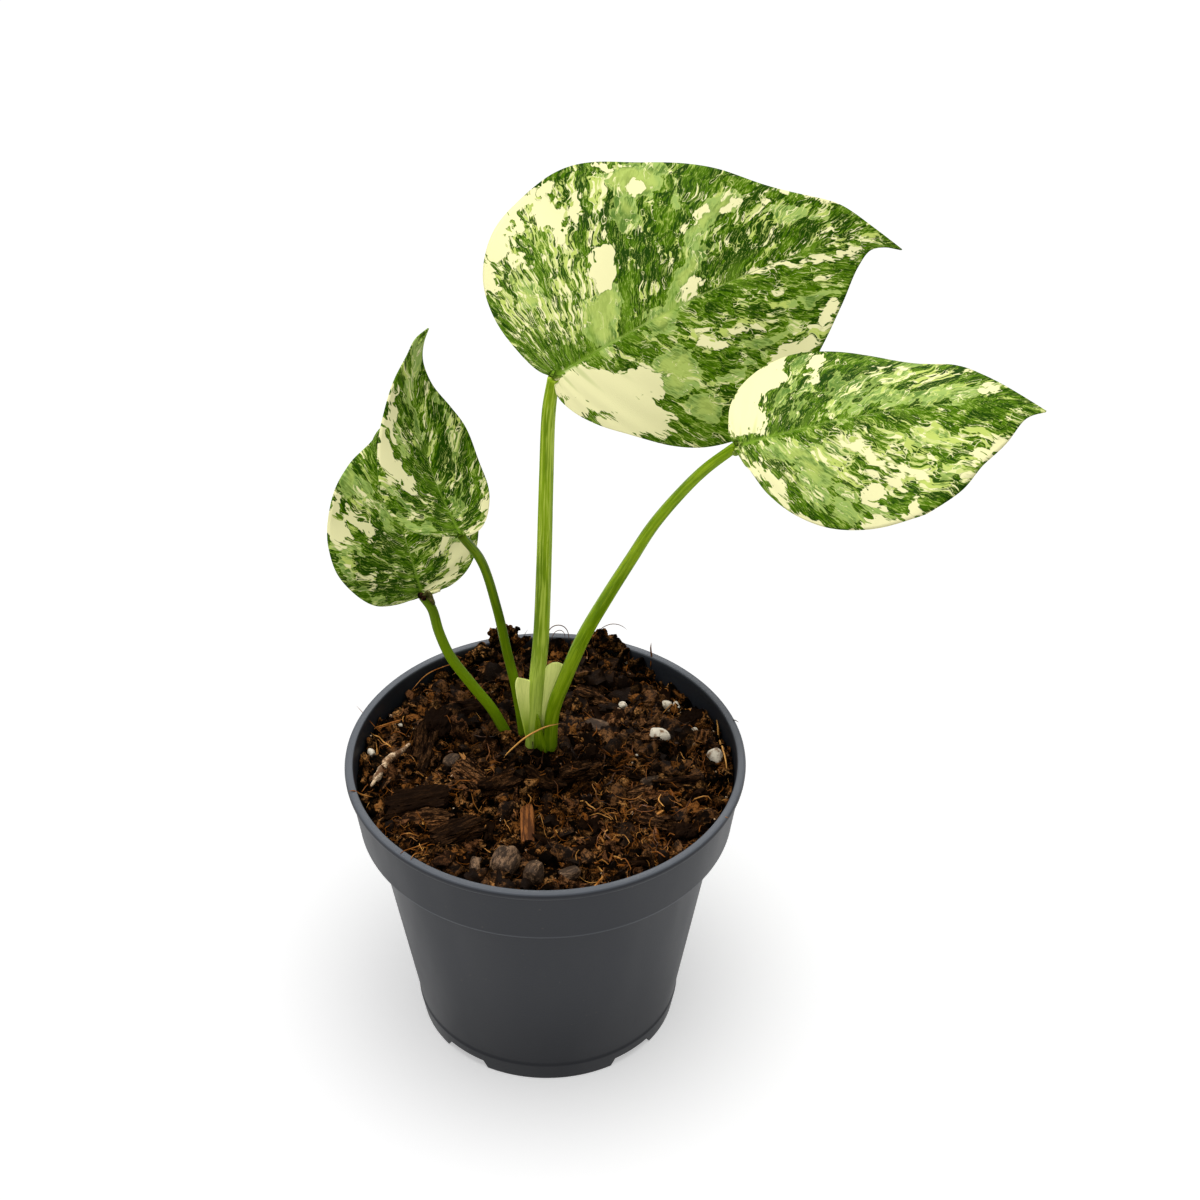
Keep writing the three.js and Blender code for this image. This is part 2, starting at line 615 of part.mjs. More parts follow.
// A closed blade between two lifts: the same triangles on both faces, joined round the margin.
function bladeGeometry(leaf, lowLift, highLift) {
  const frame = bladeFrame(leaf);
  const positions = [];
  const index = [];
  const place = (u, v) => {
    for (const lift of [lowLift, highLift]) {
      positions.push(...bladePoint(leaf, frame, u, v, lift).toArray());
    }
    return positions.length / 3 - 2;
  };
  const face = (a, b, c) => {
    index.push(a + 1, b + 1, c + 1);
    index.push(a, c, b);
  };
  const rim = (a, b) => {
    index.push(a, b, b + 1);
    index.push(a, b + 1, a + 1);
  };
  const base = place(0, 0);
  const tip = place(leaf.length, midribSide(leaf, leaf.length));
  const midrib = [];
  for (const [half, outline] of [leaf.left, leaf.right].entries()) {
    const grid = bladeRows(leaf, outline).map((row, rowNumber) => row.map((point, column) => {
      if (column > 0) {
        return place(point.x, point.y);
      }
      midrib[rowNumber] ??= place(point.x, point.y);
      return midrib[rowNumber];
    }));
    const add = half === 0 ? face : (a, b, c) => face(a, c, b);
    const close = half === 0 ? (a, b) => rim(b, a) : rim;
    const lastRow = grid.length - 1;
    for (let column = 0; column < BLADE_COLUMNS; column += 1) {
      add(base, grid[0][column], grid[0][column + 1]);
      for (let row = 0; row < lastRow; row += 1) {
        const [near, far] = [grid[row], grid[row + 1]];
        add(near[column], far[column], far[column + 1]);
        add(near[column], far[column + 1], near[column + 1]);
      }
      add(grid[lastRow][column], tip, grid[lastRow][column + 1]);
    }
    const margin = [base, ...grid.map((row) => row[BLADE_COLUMNS]), tip];
    for (let step = 1; step < margin.length; step += 1) {
      close(margin[step - 1], margin[step]);
    }
  }
  const geometry = new THREE.BufferGeometry();
  geometry.setAttribute("position", new THREE.Float32BufferAttribute(positions, 3));
  geometry.setIndex(index);
  geometry.computeVertexNormals();
  return geometry;
}

// A tapered stalk: rings square to a smooth line through its points, with flat ends.
function stalkSolid({ stalkPath, stalkRadii }) {
  const points = stalkPath.map(([x, y, z = STALK_FOOT_Z]) => new THREE.Vector3(x, y, z));
  const line = new THREE.CatmullRomCurve3(points, false, "centripetal");
  const positions = [];
  const index = [];
  const at = (step, side) => step * STALK_SIDES + (side % STALK_SIDES);
  for (let step = 0; step <= STALK_STEPS; step += 1) {
    const share = step / STALK_STEPS;
    const centre = line.getPoint(share);
    const along = step === 0 ? new THREE.Vector3(0, 0, 1) : line.getTangent(share);
    const right = new THREE.Vector3(1, 0, 0).addScaledVector(along, -along.x).normalize();
    const back = new THREE.Vector3().crossVectors(along, right);
    const knot = share * (stalkRadii.length - 1);
    const before = Math.min(Math.floor(knot), stalkRadii.length - 2);
    const radius = THREE.MathUtils.lerp(stalkRadii[before], stalkRadii[before + 1], knot - before);
    for (let side = 0; side < STALK_SIDES; side += 1) {
      const angle = (2 * Math.PI * side) / STALK_SIDES;
      const point = centre.clone().addScaledVector(right, radius * Math.cos(angle));
      positions.push(...point.addScaledVector(back, radius * Math.sin(angle)).toArray());
    }
  }
  for (let side = 0; side < STALK_SIDES; side += 1) {
    for (let step = 0; step < STALK_STEPS; step += 1) {
      index.push(at(step, side), at(step, side + 1), at(step + 1, side + 1));
      index.push(at(step, side), at(step + 1, side + 1), at(step + 1, side));
    }
  }
  for (let side = 1; side < STALK_SIDES - 1; side += 1) {
    index.push(at(0, 0), at(0, side + 1), at(0, side));
    index.push(at(STALK_STEPS, 0), at(STALK_STEPS, side), at(STALK_STEPS, side + 1));
  }
  const geometry = new THREE.BufferGeometry();
  geometry.setAttribute("position", new THREE.Float32BufferAttribute(positions, 3));
  geometry.setIndex(index);
  return solidOf(geometry);
}

function sheathWing({ y, points }) {
  const outline = new THREE.Shape();
  outline.setFromPoints(points.map(([x, z]) => new THREE.Vector2(x, z)));
  const wing = new THREE.ExtrudeGeometry(outline, { depth: WING_THICKNESS, bevelEnabled: false });
  wing.rotateX(Math.PI / 2);
  wing.translate(0, y + WING_THICKNESS, 0);
  return solidOf(wing);
}

// A stalk ends a gap below its blade: what would reach into or past the blade is cut away.
const BLADE_CUT_HEIGHT = 7;

function stalkGeometry(leaf) {
  let stalk = stalkSolid(leaf);
  if (leaf.name === "large") {
    for (const wing of SHEATH_WINGS) {
      stalk = stalk.add(sheathWing(wing));
    }
  }
  if (leaf.name === "back_left") {
    const nub = new THREE.IcosahedronGeometry(NUB_RADIUS, 1);
    stalk = stalk.add(solidOf(nub.translate(...NUB_CENTRE)));
  }
  const cutter = bladeGeometry(leaf, -BLADE_THICKNESS - GAP, BLADE_CUT_HEIGHT);
  return geometryOf(stalk.subtract(solidOf(cutter)));
}

function piece(name, geometry, finish) {
  const mesh = new THREE.Mesh(geometry, finish);
  mesh.name = name;
  return mesh;
}

const plant = new THREE.Group();
plant.add(piece("pot", potGeometry(), POT_FINISH));
plant.add(piece("soil", soilGeometry(), SOIL_FINISH));
plant.add(piece("crown", crownGeometry(), CROWN_FINISH));
for (const leaf of LEAVES) {
  plant.add(piece(`stalk_${leaf.name}`, stalkGeometry(leaf), STALK_FINISH));
  plant.add(piece(`blade_${leaf.name}`, bladeGeometry(leaf, -BLADE_THICKNESS, 0), BLADE_FINISH));
}

export default plant;
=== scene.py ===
"""A young variegated aroid in a nursery pot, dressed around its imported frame.

Sizes in the classes are millimetres, as on the real plant. MM turns them into Blender's metres.
"""

import logging
import math
import random
from collections.abc import Callable, Iterator, Sequence
from contextlib import contextmanager
from dataclasses import dataclass, field
from enum import Enum

import bpy
import numpy as np
from mathutils import Euler, Matrix, Vector, noise
from mathutils.bvhtree import BVHTree


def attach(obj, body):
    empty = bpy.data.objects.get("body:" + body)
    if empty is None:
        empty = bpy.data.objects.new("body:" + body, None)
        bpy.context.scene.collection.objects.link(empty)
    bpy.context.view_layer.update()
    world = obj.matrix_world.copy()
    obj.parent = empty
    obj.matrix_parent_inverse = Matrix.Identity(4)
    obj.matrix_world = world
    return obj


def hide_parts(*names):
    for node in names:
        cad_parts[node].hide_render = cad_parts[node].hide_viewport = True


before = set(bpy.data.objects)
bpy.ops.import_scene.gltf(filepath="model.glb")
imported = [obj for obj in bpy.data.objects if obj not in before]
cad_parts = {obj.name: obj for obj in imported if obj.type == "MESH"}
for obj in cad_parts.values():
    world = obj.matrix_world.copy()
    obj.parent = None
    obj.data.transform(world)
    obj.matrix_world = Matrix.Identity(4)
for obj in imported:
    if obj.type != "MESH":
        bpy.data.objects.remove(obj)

MM = 0.001
UP = Vector((0, 0, 1))
ROOT = "root"
LOG = logging.getLogger("plant")

Array = np.ndarray
Piece = bpy.types.Object
Material = bpy.types.Material
Socket = bpy.types.NodeSocket
Point = tuple[float, float]
Triple = tuple[float, float, float]
Colour = Triple
Rows = tuple[tuple[float, ...], ...]
Materials = dict[str, Material]
Thread = tuple[Sequence[Vector], float, float]
Lamp = tuple[str, Triple, float, float]
Layout = Callable[[Array, Array], Array]


# Modelling helpers.

def deselect() -> None:
    """Leaves nothing selected, so that an operator acts on its own piece alone."""
    if bpy.context.mode != "OBJECT":
        bpy.ops.object.mode_set(mode="OBJECT")
    bpy.ops.object.select_all(action="DESELECT")


def activate(piece: Piece) -> None:
    """Makes a piece the only selected and the active one.

    Args:
        piece: The object that the next operators act on.
    """
    deselect()
    piece.select_set(True)
    bpy.context.view_layer.objects.active = piece


@contextmanager
def editing(piece: Piece) -> Iterator[Piece]:
    """Opens a piece in edit mode and closes it again.

    Args:
        piece: The mesh object to edit.

    Yields:
        The same object.
    """
    activate(piece)
    bpy.ops.object.mode_set(mode="EDIT")
    yield piece
    bpy.ops.object.mode_set(mode="OBJECT")


def modify(piece: Piece, kind: str, **settings: object) -> None:
    """Adds one modifier to a piece and applies it.

    Args:
        piece: The mesh object.
        kind: Blender's name of the modifier's type.
        **settings: Values of the modifier's properties.
    """
    modifier = piece.modifiers.new(kind.lower(), kind)
    for name, value in settings.items():
        setattr(modifier, name, value)
    activate(piece)
    bpy.ops.object.modifier_apply(modifier=modifier.name)


def vertices_of(piece: Piece) -> Array:
    """Reads a piece's vertices.

    Args:
        piece: The mesh object.

    Returns:
        One row of x, y and z for each vertex, in metres.
    """
    flat = np.empty(len(piece.data.vertices) * 3)
    piece.data.vertices.foreach_get("co", flat)
    return flat.reshape(-1, 3)


def move_vertices(piece: Piece, places: Array) -> None:
    """Moves a piece's vertices to rows of x, y and z, in metres."""
    piece.data.vertices.foreach_set("co", np.asarray(places, float).ravel())
    piece.data.update()


def note(piece: Piece, name: str, values: Array | float) -> None:
    """Writes a number or a vector on each vertex for the material to read.

    Args:
        piece: The mesh object.
        name: The attribute's name.
        values: One number for each vertex, or one row of three, or one number for them all.
    """
    is_vector = np.ndim(values) == 2
    if np.ndim(values) == 0:
        values = np.full(len(piece.data.vertices), values)
    if name in piece.data.attributes:
        piece.data.attributes.remove(piece.data.attributes[name])
    attribute = piece.data.attributes.new(name, "FLOAT_VECTOR" if is_vector else "FLOAT", "POINT")
    attribute.data.foreach_set("vector" if is_vector else "value", np.asarray(values, float).ravel())


def laid_grid(name: str, columns: int, rows: int, place: Layout) -> tuple[Piece, Array]:
    """Adds a grid and lays it out in space.

    Args:
        name: The piece's name.
        columns: Faces across the grid.
        rows: Faces along the grid.
        place: Gives the points, in metres, for shares across and along.

    Returns:
        The piece, and one row of the shares across and along for each vertex.
    """
    deselect()
    bpy.ops.mesh.primitive_grid_add(x_subdivisions=columns, y_subdivisions=rows, size=1)
    piece = bpy.context.object
    piece.name = piece.data.name = name
    shares = np.clip(vertices_of(piece)[:, :2] + 0.5, 0, 1)
    move_vertices(piece, place(shares[:, 0], shares[:, 1]))
    return piece, shares


def close_seams(piece: Piece, distance: float = 1e-6) -> None:
    """Merges doubled vertices, fills open ends and turns the faces outwards.

    Args:
        piece: The mesh object.
        distance: How near two vertices lie to be merged, in metres.
    """
    with editing(piece):
        bpy.ops.mesh.select_all(action="SELECT")
        bpy.ops.mesh.remove_doubles(threshold=distance)
        bpy.ops.mesh.select_all(action="DESELECT")
        bpy.ops.mesh.select_mode(type="EDGE")
        bpy.ops.mesh.select_non_manifold(extend=False, use_wire=False, use_multi_face=False,
                                         use_non_contiguous=False, use_verts=False)
        bpy.ops.mesh.fill_holes(sides=0)
        bpy.ops.mesh.select_mode(type="VERT")
        bpy.ops.mesh.select_all(action="SELECT")
        bpy.ops.mesh.normals_make_consistent(inside=False)


def joined(name: str, pieces: Sequence[Piece]) -> Piece:
    """Joins copies into one piece.

    Args:
        name: The joined piece's name.
        pieces: Mesh objects, each with its own mesh.

    Returns:
        The joined piece.
    """
    deselect()
    for piece in pieces:
        piece.select_set(True)
    bpy.context.view_layer.objects.active = pieces[0]
    bpy.ops.object.join()
    pieces[0].name = pieces[0].data.name = name
    return pieces[0]


def settle(piece: Piece, at: Vector, turn: Matrix, size: Sequence[float], tint: float) -> Piece:
    """Sizes, turns and places a piece in its mesh, and shades it.

    Args:
        piece: A piece modelled a unit long about the origin.
        at: Where its middle goes, in metres.
        turn: How it is turned.
        size: Its length, width and height, in millimetres.
        tint: Its shade from 0 to 1, kept in its "tint" attribute.

    Returns:
        The same piece.
    """
    piece.data.transform(Matrix.Translation(at) @ turn @ Matrix.Diagonal((*(MM * side for side in size), 1)))
    note(piece, "tint", tint)
    return piece


def copy_of(pattern: Piece) -> Piece:
    """Copies a piece with its mesh.

    Args:
        pattern: The piece that was modelled once.

    Returns:
        The copy.
    """
    copy = pattern.copy()
    copy.data = pattern.data.copy()
    bpy.context.scene.collection.objects.link(copy)
    return copy


def finish_piece(piece: Piece, finishes: Sequence[Material],
                 replaced: Sequence[str] = (), smooth_angle: float | None = None) -> Piece:
    """Dresses a finished piece and sets it on the frame.

    Args:
        piece: The mesh object, with its place in its mesh.
        finishes: Its materials, in the order of its faces' material numbers.
        replaced: The frame's nodes that it stands for.
        smooth_angle: Edges sharper than this many degrees stay sharp, or None for all smooth.

    Returns:
        The same object.
    """
    activate(piece)
    if smooth_angle is None:
        bpy.ops.object.shade_smooth()
    else:
        bpy.ops.object.shade_smooth_by_angle(angle=math.radians(smooth_angle))
    piece.data.materials.clear()
    for finish in finishes:
        piece.data.materials.append(finish)
    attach(piece, ROOT)
    if replaced:
        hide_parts(*replaced)
    LOG.info("%s: %d faces", piece.name, len(piece.data.polygons))
    return piece


# Curves and noise.

@dataclass(frozen=True)
class Route:
    """A smooth line through points, which runs as the solids' lines do."""

    knots: Rows

    def at(self, shares: Array) -> Array:
        """Points on the line, with the knots at even shares.

        Args:
            shares: Shares of the way from the first knot to the last.

        Returns:
            One row for each share.
        """
        knots = np.array(self.knots, float)
        ends = np.vstack([2 * knots[0] - knots[1], knots, 2 * knots[-1] - knots[-2]])
        way = np.clip(shares, 0, 1) * (len(knots) - 1)
        first = np.minimum(way.astype(int), len(knots) - 2)
        part = (way - first)[:, None]
        before, start, end, after = (ends[first + step] for step in range(4))
        gap_before, gap, gap_after = (
            np.maximum(np.linalg.norm(b - a, axis=1), 1e-9)[:, None] ** 0.5
            for a, b in ((before, start), (start, end), (end, after)))
        leave = (start - before) / gap_before - (end - before) / (gap_before + gap) + (end - start) / gap
        arrive = (end - start) / gap - (after - start) / (gap + gap_after) + (after - end) / gap_after
        leave, arrive = leave * gap, arrive * gap
        square = -3 * start + 3 * end - 2 * leave - arrive
        cube = 2 * start - 2 * end + leave + arrive
        return start + leave * part + square * part**2 + cube * part**3

    def evenly(self, shares: Array, steps: int = 400) -> Array:
        """Points on the line at shares of its length.

        Args:
            shares: Shares of the line's length.
            steps: How finely the length is measured.

        Returns:
            One row for each share.
        """
        way = np.linspace(0, 1, steps)
        line = self.at(way)
        run = np.concatenate([[0], np.cumsum(np.linalg.norm(np.diff(line, axis=0), axis=1))])
        return self.at(np.interp(np.asarray(shares) * run[-1], run, way))

    @property
    def length(self) -> float:
        """The line's length."""
        line = self.at(np.linspace(0, 1, 400))
        return float(np.linalg.norm(np.diff(line, axis=0), axis=1).sum())


def rough(point: Vector, scale: float, octaves: int = 3) -> float:
    """Rough noise at a point, from about -1 to 1, with its largest bumps of the given size."""
    return noise.fractal(point / scale, 0.7, 2.1, octaves, noise_basis="PERLIN_NEW")


# Shader helpers.

class Wiring:
    """Adds and joins shader nodes in one node tree."""

    def __init__(self, tree: bpy.types.NodeTree) -> None:
        """Starts on a material's or group's node tree, emptied."""
        self.tree = tree
        tree.nodes.clear()

    def node(self, kind: str, inputs: dict[str | int, object], **settings: object) -> bpy.types.Node:
        """Adds a node.

        Args:
            kind: The node's type without the ShaderNode in front.
            inputs: Sockets to link from, or values, by input name or number.
            **settings: Values of the node's properties.

        Returns:
            The node.
        """
        made = self.tree.nodes.new("ShaderNode" + kind)
        for name, value in settings.items():
            setattr(made, name, value)
        for name, value in inputs.items():
            if isinstance(value, Socket):
                self.tree.links.new(value, made.inputs[name])
            elif isinstance(value, tuple) and made.inputs[name].type == "RGBA":
                made.inputs[name].default_value = (*value, 1)
            else:
                made.inputs[name].default_value = value
        return made

    def math(self, operation: str, first: object, second: object = 0.0, third: object = 0.0) -> Socket:
        """Works out one sum, under Blender's name of it, of values or sockets."""
        return self.node("Math", {0: first, 1: second, 2: third}, operation=operation).outputs[0]

    def times(self, first: object, second: object) -> Socket:
        """Multiplies two values or sockets."""
        return self.math("MULTIPLY", first, second)

    def minus(self, first: object, second: object) -> Socket:
        """Takes the second value or socket from the first."""
        return self.math("SUBTRACT", first, second)

    def mix(self, share: object, low: object, high: object) -> Socket:
        """Mixes two colours, with a share of the second one."""
        return self.node("Mix", {0: share, 6: low, 7: high}, data_type="RGBA").outputs[2]

    def noise(self, vector: Socket, scale: object, detail: float = 3, roughness: float = 0.5,
              warp: float = 0) -> Socket:
        """Adds noise around 0.5, with bumps for each unit of the vector, finer layers and a warp."""
        inputs = {"Vector": vector, "Scale": scale, "Detail": detail, "Roughness": roughness,
                  "Distortion": warp}
        return self.node("TexNoise", inputs).outputs["Fac"]

    def cells(self, vector: Socket, scale: float) -> tuple[Socket, ...]:
        """Splits space into cells.

        Args:
            vector: The place.
            scale: Cells for each unit of it.

        Returns:
            Three chance values from 0 to 1, the same all over a cell.
        """
        inputs = {"Vector": vector, "Scale": scale, "Smoothness": 0.12}
        colour = self.node("TexVoronoi", inputs, feature="SMOOTH_F1").outputs["Color"]
        return tuple(self.node("SeparateColor", {"Color": colour}).outputs)

    def sum_around(self, start: object, *parts: tuple[Socket, float]) -> Socket:
        """Moves a value up and down by others.

        Args:
            start: The value.
            *parts: Values around 0.5, each with its weight.

        Returns:
            The start plus each value's difference from 0.5 times its weight.
        """
        for value, weight in parts:
            start = self.math("MULTIPLY_ADD", self.minus(value, 0.5), weight, start)
        return start

    def ramp(self, value: Socket, low: object, high: object, to_low: float = 0,
             to_high: float = 1) -> Socket:
        """Maps a value smoothly, from the range low to high onto to_low to to_high."""
        inputs = {"Value": value, "From Min": low, "From Max": high, "To Min": to_low, "To Max": to_high}
        return self.node("MapRange", inputs, interpolation_type="SMOOTHSTEP").outputs["Result"]

    def stretch(self, vector: Socket, across: float, along: float, up: float = 1) -> Socket:
        """Scales a vector's three axes."""
        inputs = {"Vector": vector, "Scale": Vector((across, along, up))}
        return self.node("Mapping", inputs).outputs["Vector"]

    def attribute(self, name: str, vector: bool = False) -> Socket:
        """Reads an attribute of the piece, a number or a vector."""
        read = self.node("Attribute", {}, attribute_name=name, attribute_type="GEOMETRY")
        return read.outputs["Vector" if vector else "Fac"]

    def object_place(self) -> Socket:
        """The place on the piece, in metres."""
        return self.node("TexCoord", {}).outputs["Object"]

    def bump(self, height: Socket, depth: float) -> Socket:
        """Turns a height from 0 to 1 into a normal, with a depth in millimetres."""
        return self.node("Bump", {"Height": height, "Distance": depth * MM}).outputs["Normal"]

    def group(self, name: str, inputs: dict[str, object]) -> bpy.types.Node:
        """Places a shared effect by its name."""
        return self.node("Group", inputs, node_tree=bpy.data.node_groups[name])


def new_group(name: str, inputs: dict[str, str],
              outputs: dict[str, str]) -> tuple[Wiring, dict[str, Socket]]:
    """Starts a shared effect.

    Args:
        name: The node group's name.
        inputs: Input names and the kinds of their sockets.
        outputs: Output names and the kinds of their sockets.

    Returns:
        The wiring to fill, and its input sockets by name.
    """
    tree = bpy.data.node_groups.new(name, "ShaderNodeTree")
    for side, sockets in (("INPUT", inputs), ("OUTPUT", outputs)):
        for label, kind in sockets.items():
            tree.interface.new_socket(label, in_out=side, socket_type="NodeSocket" + kind)
    net = Wiring(tree)
    source = tree.nodes.new("NodeGroupInput")
    return net, {label: source.outputs[label] for label in inputs}


def close_group(net: Wiring, outputs: dict[str, Socket]) -> None:
    """Joins a shared effect's results to its outputs.

    Args:
        net: The group's wiring.
        outputs: Result sockets by output name.
    """
    sink = net.tree.nodes.new("NodeGroupOutput")
    for label, socket in outputs.items():
        net.tree.links.new(socket, sink.inputs[label])


def build_streaks() -> None:
    """Builds the shared effect of fine lines drawn out along a grain."""
    net, given = new_group("streaks", {"Vector": "Vector", "Scale": "Float", "Warp": "Float"},
                           {"Value": "Float"})
    warped = net.noise(given["Vector"], given["Scale"], 4, 0.6, 0)
    fine = net.noise(given["Vector"], net.times(given["Scale"], 3.1), 2, 0.5, 0.4)
    bent = net.times(net.minus(fine, 0.5), given["Warp"])
    close_group(net, {"Value": net.math("ADD", warped, bent)})


def build_earth() -> None:
    """Builds the shared effect of damp, crumbly colour and relief."""
    net, given = new_group(
        "earth",
        {"Vector": "Vector", "Scale": "Float", "Shade": "Float", "Dark": "Color", "Light": "Color",
         "Warm": "Color"},
        {"Color": "Color", "Height": "Float", "Damp": "Float"})
    broad = net.noise(given["Vector"], given["Scale"], 5, 0.65, 0.3)
    fine = net.noise(given["Vector"], net.times(given["Scale"], 5), 4, 0.7)
    lit = net.times(net.ramp(broad, 0.43, 0.66), net.ramp(fine, 0.4, 0.68, 0.1, 1.8))
    lit = net.times(lit, given["Shade"])
    warm = net.noise(given["Vector"], net.times(given["Scale"], 0.45), 2)
    bright = net.mix(net.ramp(warm, 0.48, 0.66, 0, 0.8), given["Light"], given["Warm"])
    colour = net.mix(lit, given["Dark"], bright)
    height = net.math("ADD", net.times(broad, 0.6), net.times(fine, 0.4))
    close_group(net, {"Color": colour, "Height": height, "Damp": net.ramp(fine, 0.55, 0.75)})


def build_variegation() -> None:
    """Builds the shared effect of a leaf's cream, grey-green and green markings."""
    net, given = new_group(
        "variegation",
        {"Vein": "Vector", "Flat": "Vector", "Cream": "Float", "Grey": "Float", "Deep": "Float",
         "Fleck": "Float", "Deep Green": "Color", "Green": "Color", "Dark Grey": "Color",
         "Grey Green": "Color", "Pale Green": "Color", "Cream Colour": "Color"},
        {"Color": "Color"})
    pale = given["Pale Green"]
    swirl = net.node("TexNoise", {"Vector": given["Flat"], "Scale": 0.17, "Detail": 1}).outputs["Color"]
    half, sway = Vector((0.5, 0.5, 0.5)), Vector((5.5, 5, 0))
    swirl = net.node("VectorMath", {0: swirl, 1: half}, operation="SUBTRACT").outputs[0]
    inputs = {0: swirl, 1: sway, 2: net.stretch(given["Vein"], 1, 0.45)}
    swayed = net.node("VectorMath", inputs, operation="MULTIPLY_ADD").outputs[0]
    coarse = net.cells(swayed, 0.34)
    fine = net.cells(swayed, 0.95)
    between = net.node("TexVoronoi", {"Vector": swayed, "Scale": 0.95},
                       feature="DISTANCE_TO_EDGE").outputs["Distance"]
    hair = net.noise(net.stretch(given["Vein"], 1, 0.22), 1.9, 2, 0.55, 0.8)
    ridge = net.noise(net.stretch(swayed, 1, 0.6), 1.3, 1, 0.5, 0.6)
    ridge = net.math("ABSOLUTE", net.minus(ridge, 0.5))
    lines = net.times(net.ramp(ridge, 0.04, 0.01, 0, 0.5), net.ramp(hair, 0.42, 0.56))
    blotch = net.noise(given["Flat"], 0.2, 2, 0.5, 0.4)

    tone = net.sum_around(0.5, (fine[0], 0.35), (coarse[0], 0.35), (hair, 1.1))
    tone = net.math("MULTIPLY_ADD", net.ramp(given["Deep"], -1.5, 1), -0.22, tone)
    green = net.mix(net.ramp(tone, 0.25, 0.68), given["Deep Green"], given["Green"])
    green = net.mix(net.ramp(tone, 0.68, 0.9, 0, 0.55), green, pale)
    green = net.mix(lines, green, pale)
    mist_edge = net.sum_around(given["Grey"], (coarse[1], 1.5), (blotch, 3), (hair, 1.2))
    mist = net.mix(net.ramp(tone, 0.25, 0.62), given["Dark Grey"], given["Grey Green"])
    rim = net.times(net.ramp(mist_edge, 0.9, 0.1), 0.35)
    mist = net.mix(rim, mist, pale)
    mist = net.mix(net.ramp(given["Grey"], 1, 2.8, 0, 0.6), mist, pale)
    colour = net.mix(net.ramp(mist_edge, -0.12, 0.12), green, mist)

    chance = net.sum_around(0.5, (fine[1], 0.5), (coarse[1], 0.45), (hair, 0.5), (blotch, 0.9))
    limit = net.math("MULTIPLY_ADD", given["Fleck"], -0.52, 1.0)
    near, nearer = net.minus(limit, 0.2), net.minus(limit, 0.1)
    webbed = net.ramp(chance, near, nearer, 0, 0.9)
    threads = net.times(net.ramp(between, 0.13, 0.05), webbed)
    in_fleck = net.math("MAXIMUM", net.ramp(chance, limit, net.math("ADD", limit, 0.05)), threads)
    fleck = net.mix(net.ramp(fine[2], 0.25, 0.85), pale, given["Cream Colour"])
    colour = net.mix(in_fleck, colour, fleck)
    edge = net.sum_around(given["Cream"], (coarse[2], 1.5), (blotch, 2.6), (hair, 1))
    edge = net.minus(edge, net.ramp(fine[0], 0.78, 0.82))
    brink = net.ramp(edge, -0.75, -0.25, 0, 0.2)
    colour = net.mix(brink, colour, given["Deep Green"])
    colour = net.mix(net.ramp(edge, -0.1, 0.1), colour, given["Cream Colour"])
    close_group(net, {"Color": colour})


# Finishes.

@dataclass(frozen=True)
class Finish:
    """What every finish has: a name, a roughness and a gloss."""

    name: str
    roughness: float = 0.5
    specular: float = 0.5

    def start(self) -> tuple[Material, Wiring]:
        """Makes an empty material.

        Returns:
            The material and its wiring.
        """
        material = bpy.data.materials.new(self.name)
        material.use_nodes = True
        return material, Wiring(material.node_tree)

    def close(self, net: Wiring, colour: Socket, roughness: object, normal: Socket) -> None:
        """Joins the results to the material's surface.

        Args:
            net: The material's wiring.
            colour: The base colour.
            roughness: The roughness, or a socket that varies it.
            normal: The bumped normal.
        """
        inputs = {"Base Color": colour, "Roughness": roughness, "Normal": normal,
                  "Specular IOR Level": self.specular}
        surface = net.node("BsdfPrincipled", inputs)
        net.node("OutputMaterial", {"Surface": surface.outputs[0]})


@dataclass(frozen=True)
class PotPlastic(Finish):
    """Satin moulded plastic with faint flow marks, scuffs and specks of dust, with painted highlights on the
    lip's top and the collar's lower edge and painted shade towards the foot.
    """

    name: str = "pot_plastic"
    roughness: float = 0.44
    specular: float = 0.25
    base: Colour = (0.0175, 0.0195, 0.025)
    worn: Colour = (0.03, 0.033, 0.04)
    # Colour of the painted highlights on the lip's top and the collar's lower edge.
    edge: Colour = (0.07, 0.077, 0.09)
    lip_z: float = 95.7
    collar_z: float = 76.2
    # Colour of the painted shade towards the foot.
    shaded: Colour = (0.006, 0.007, 0.01)
    dust: Colour = (0.16, 0.12, 0.09)

    def build(self) -> Material:
        """Makes the material.

        Returns:
            The material.
        """
        material, net = self.start()
        place = net.object_place()
        flow = net.noise(net.stretch(place, 1, 1, 0.25), 45, 3, 0.5)
        grain = net.noise(place, 1900, 3, 0.55)
        scuff = net.ramp(net.noise(net.stretch(place, 1, 1, 5), 90, 5, 0.7), 0.63, 0.8)
        speck = net.ramp(net.noise(place, 800, 2, 0.4), 0.74, 0.79)
        colour = net.mix(net.ramp(flow, 0.35, 0.7, 0, 0.35), self.base, self.worn)
        colour = net.mix(net.times(scuff, 0.3), colour, self.worn)
        colour = net.mix(net.times(speck, 0.25), colour, self.dust)
        height = net.math("DIVIDE", net.node("SeparateXYZ", {0: place}).outputs[2], MM)
        from_collar = net.math("ABSOLUTE", net.minus(height, self.collar_z))
        # Painted highlight: the lip's top and the collar's lower edge are lightened as if they caught the
        # light.
        painted_highlight = net.math("MAXIMUM", net.ramp(height, self.lip_z, self.lip_z + 0.5),
                          net.ramp(from_collar, 0.6, 0.1, 0, 0.45))
        # Painted shade: the wall darkens towards the foot.
        low = net.ramp(height, 55, 2, 0, 0.7)
        colour = net.mix(low, colour, self.shaded)
        colour = net.mix(painted_highlight, colour, self.edge)
        rough_value = net.ramp(flow, 0.3, 0.7, self.roughness - 0.05, self.roughness + 0.07)
        rough_value = net.math("MULTIPLY_ADD", scuff, 0.12, rough_value)
        self.close(net, colour, rough_value, net.bump(grain, 0.035))
        return material


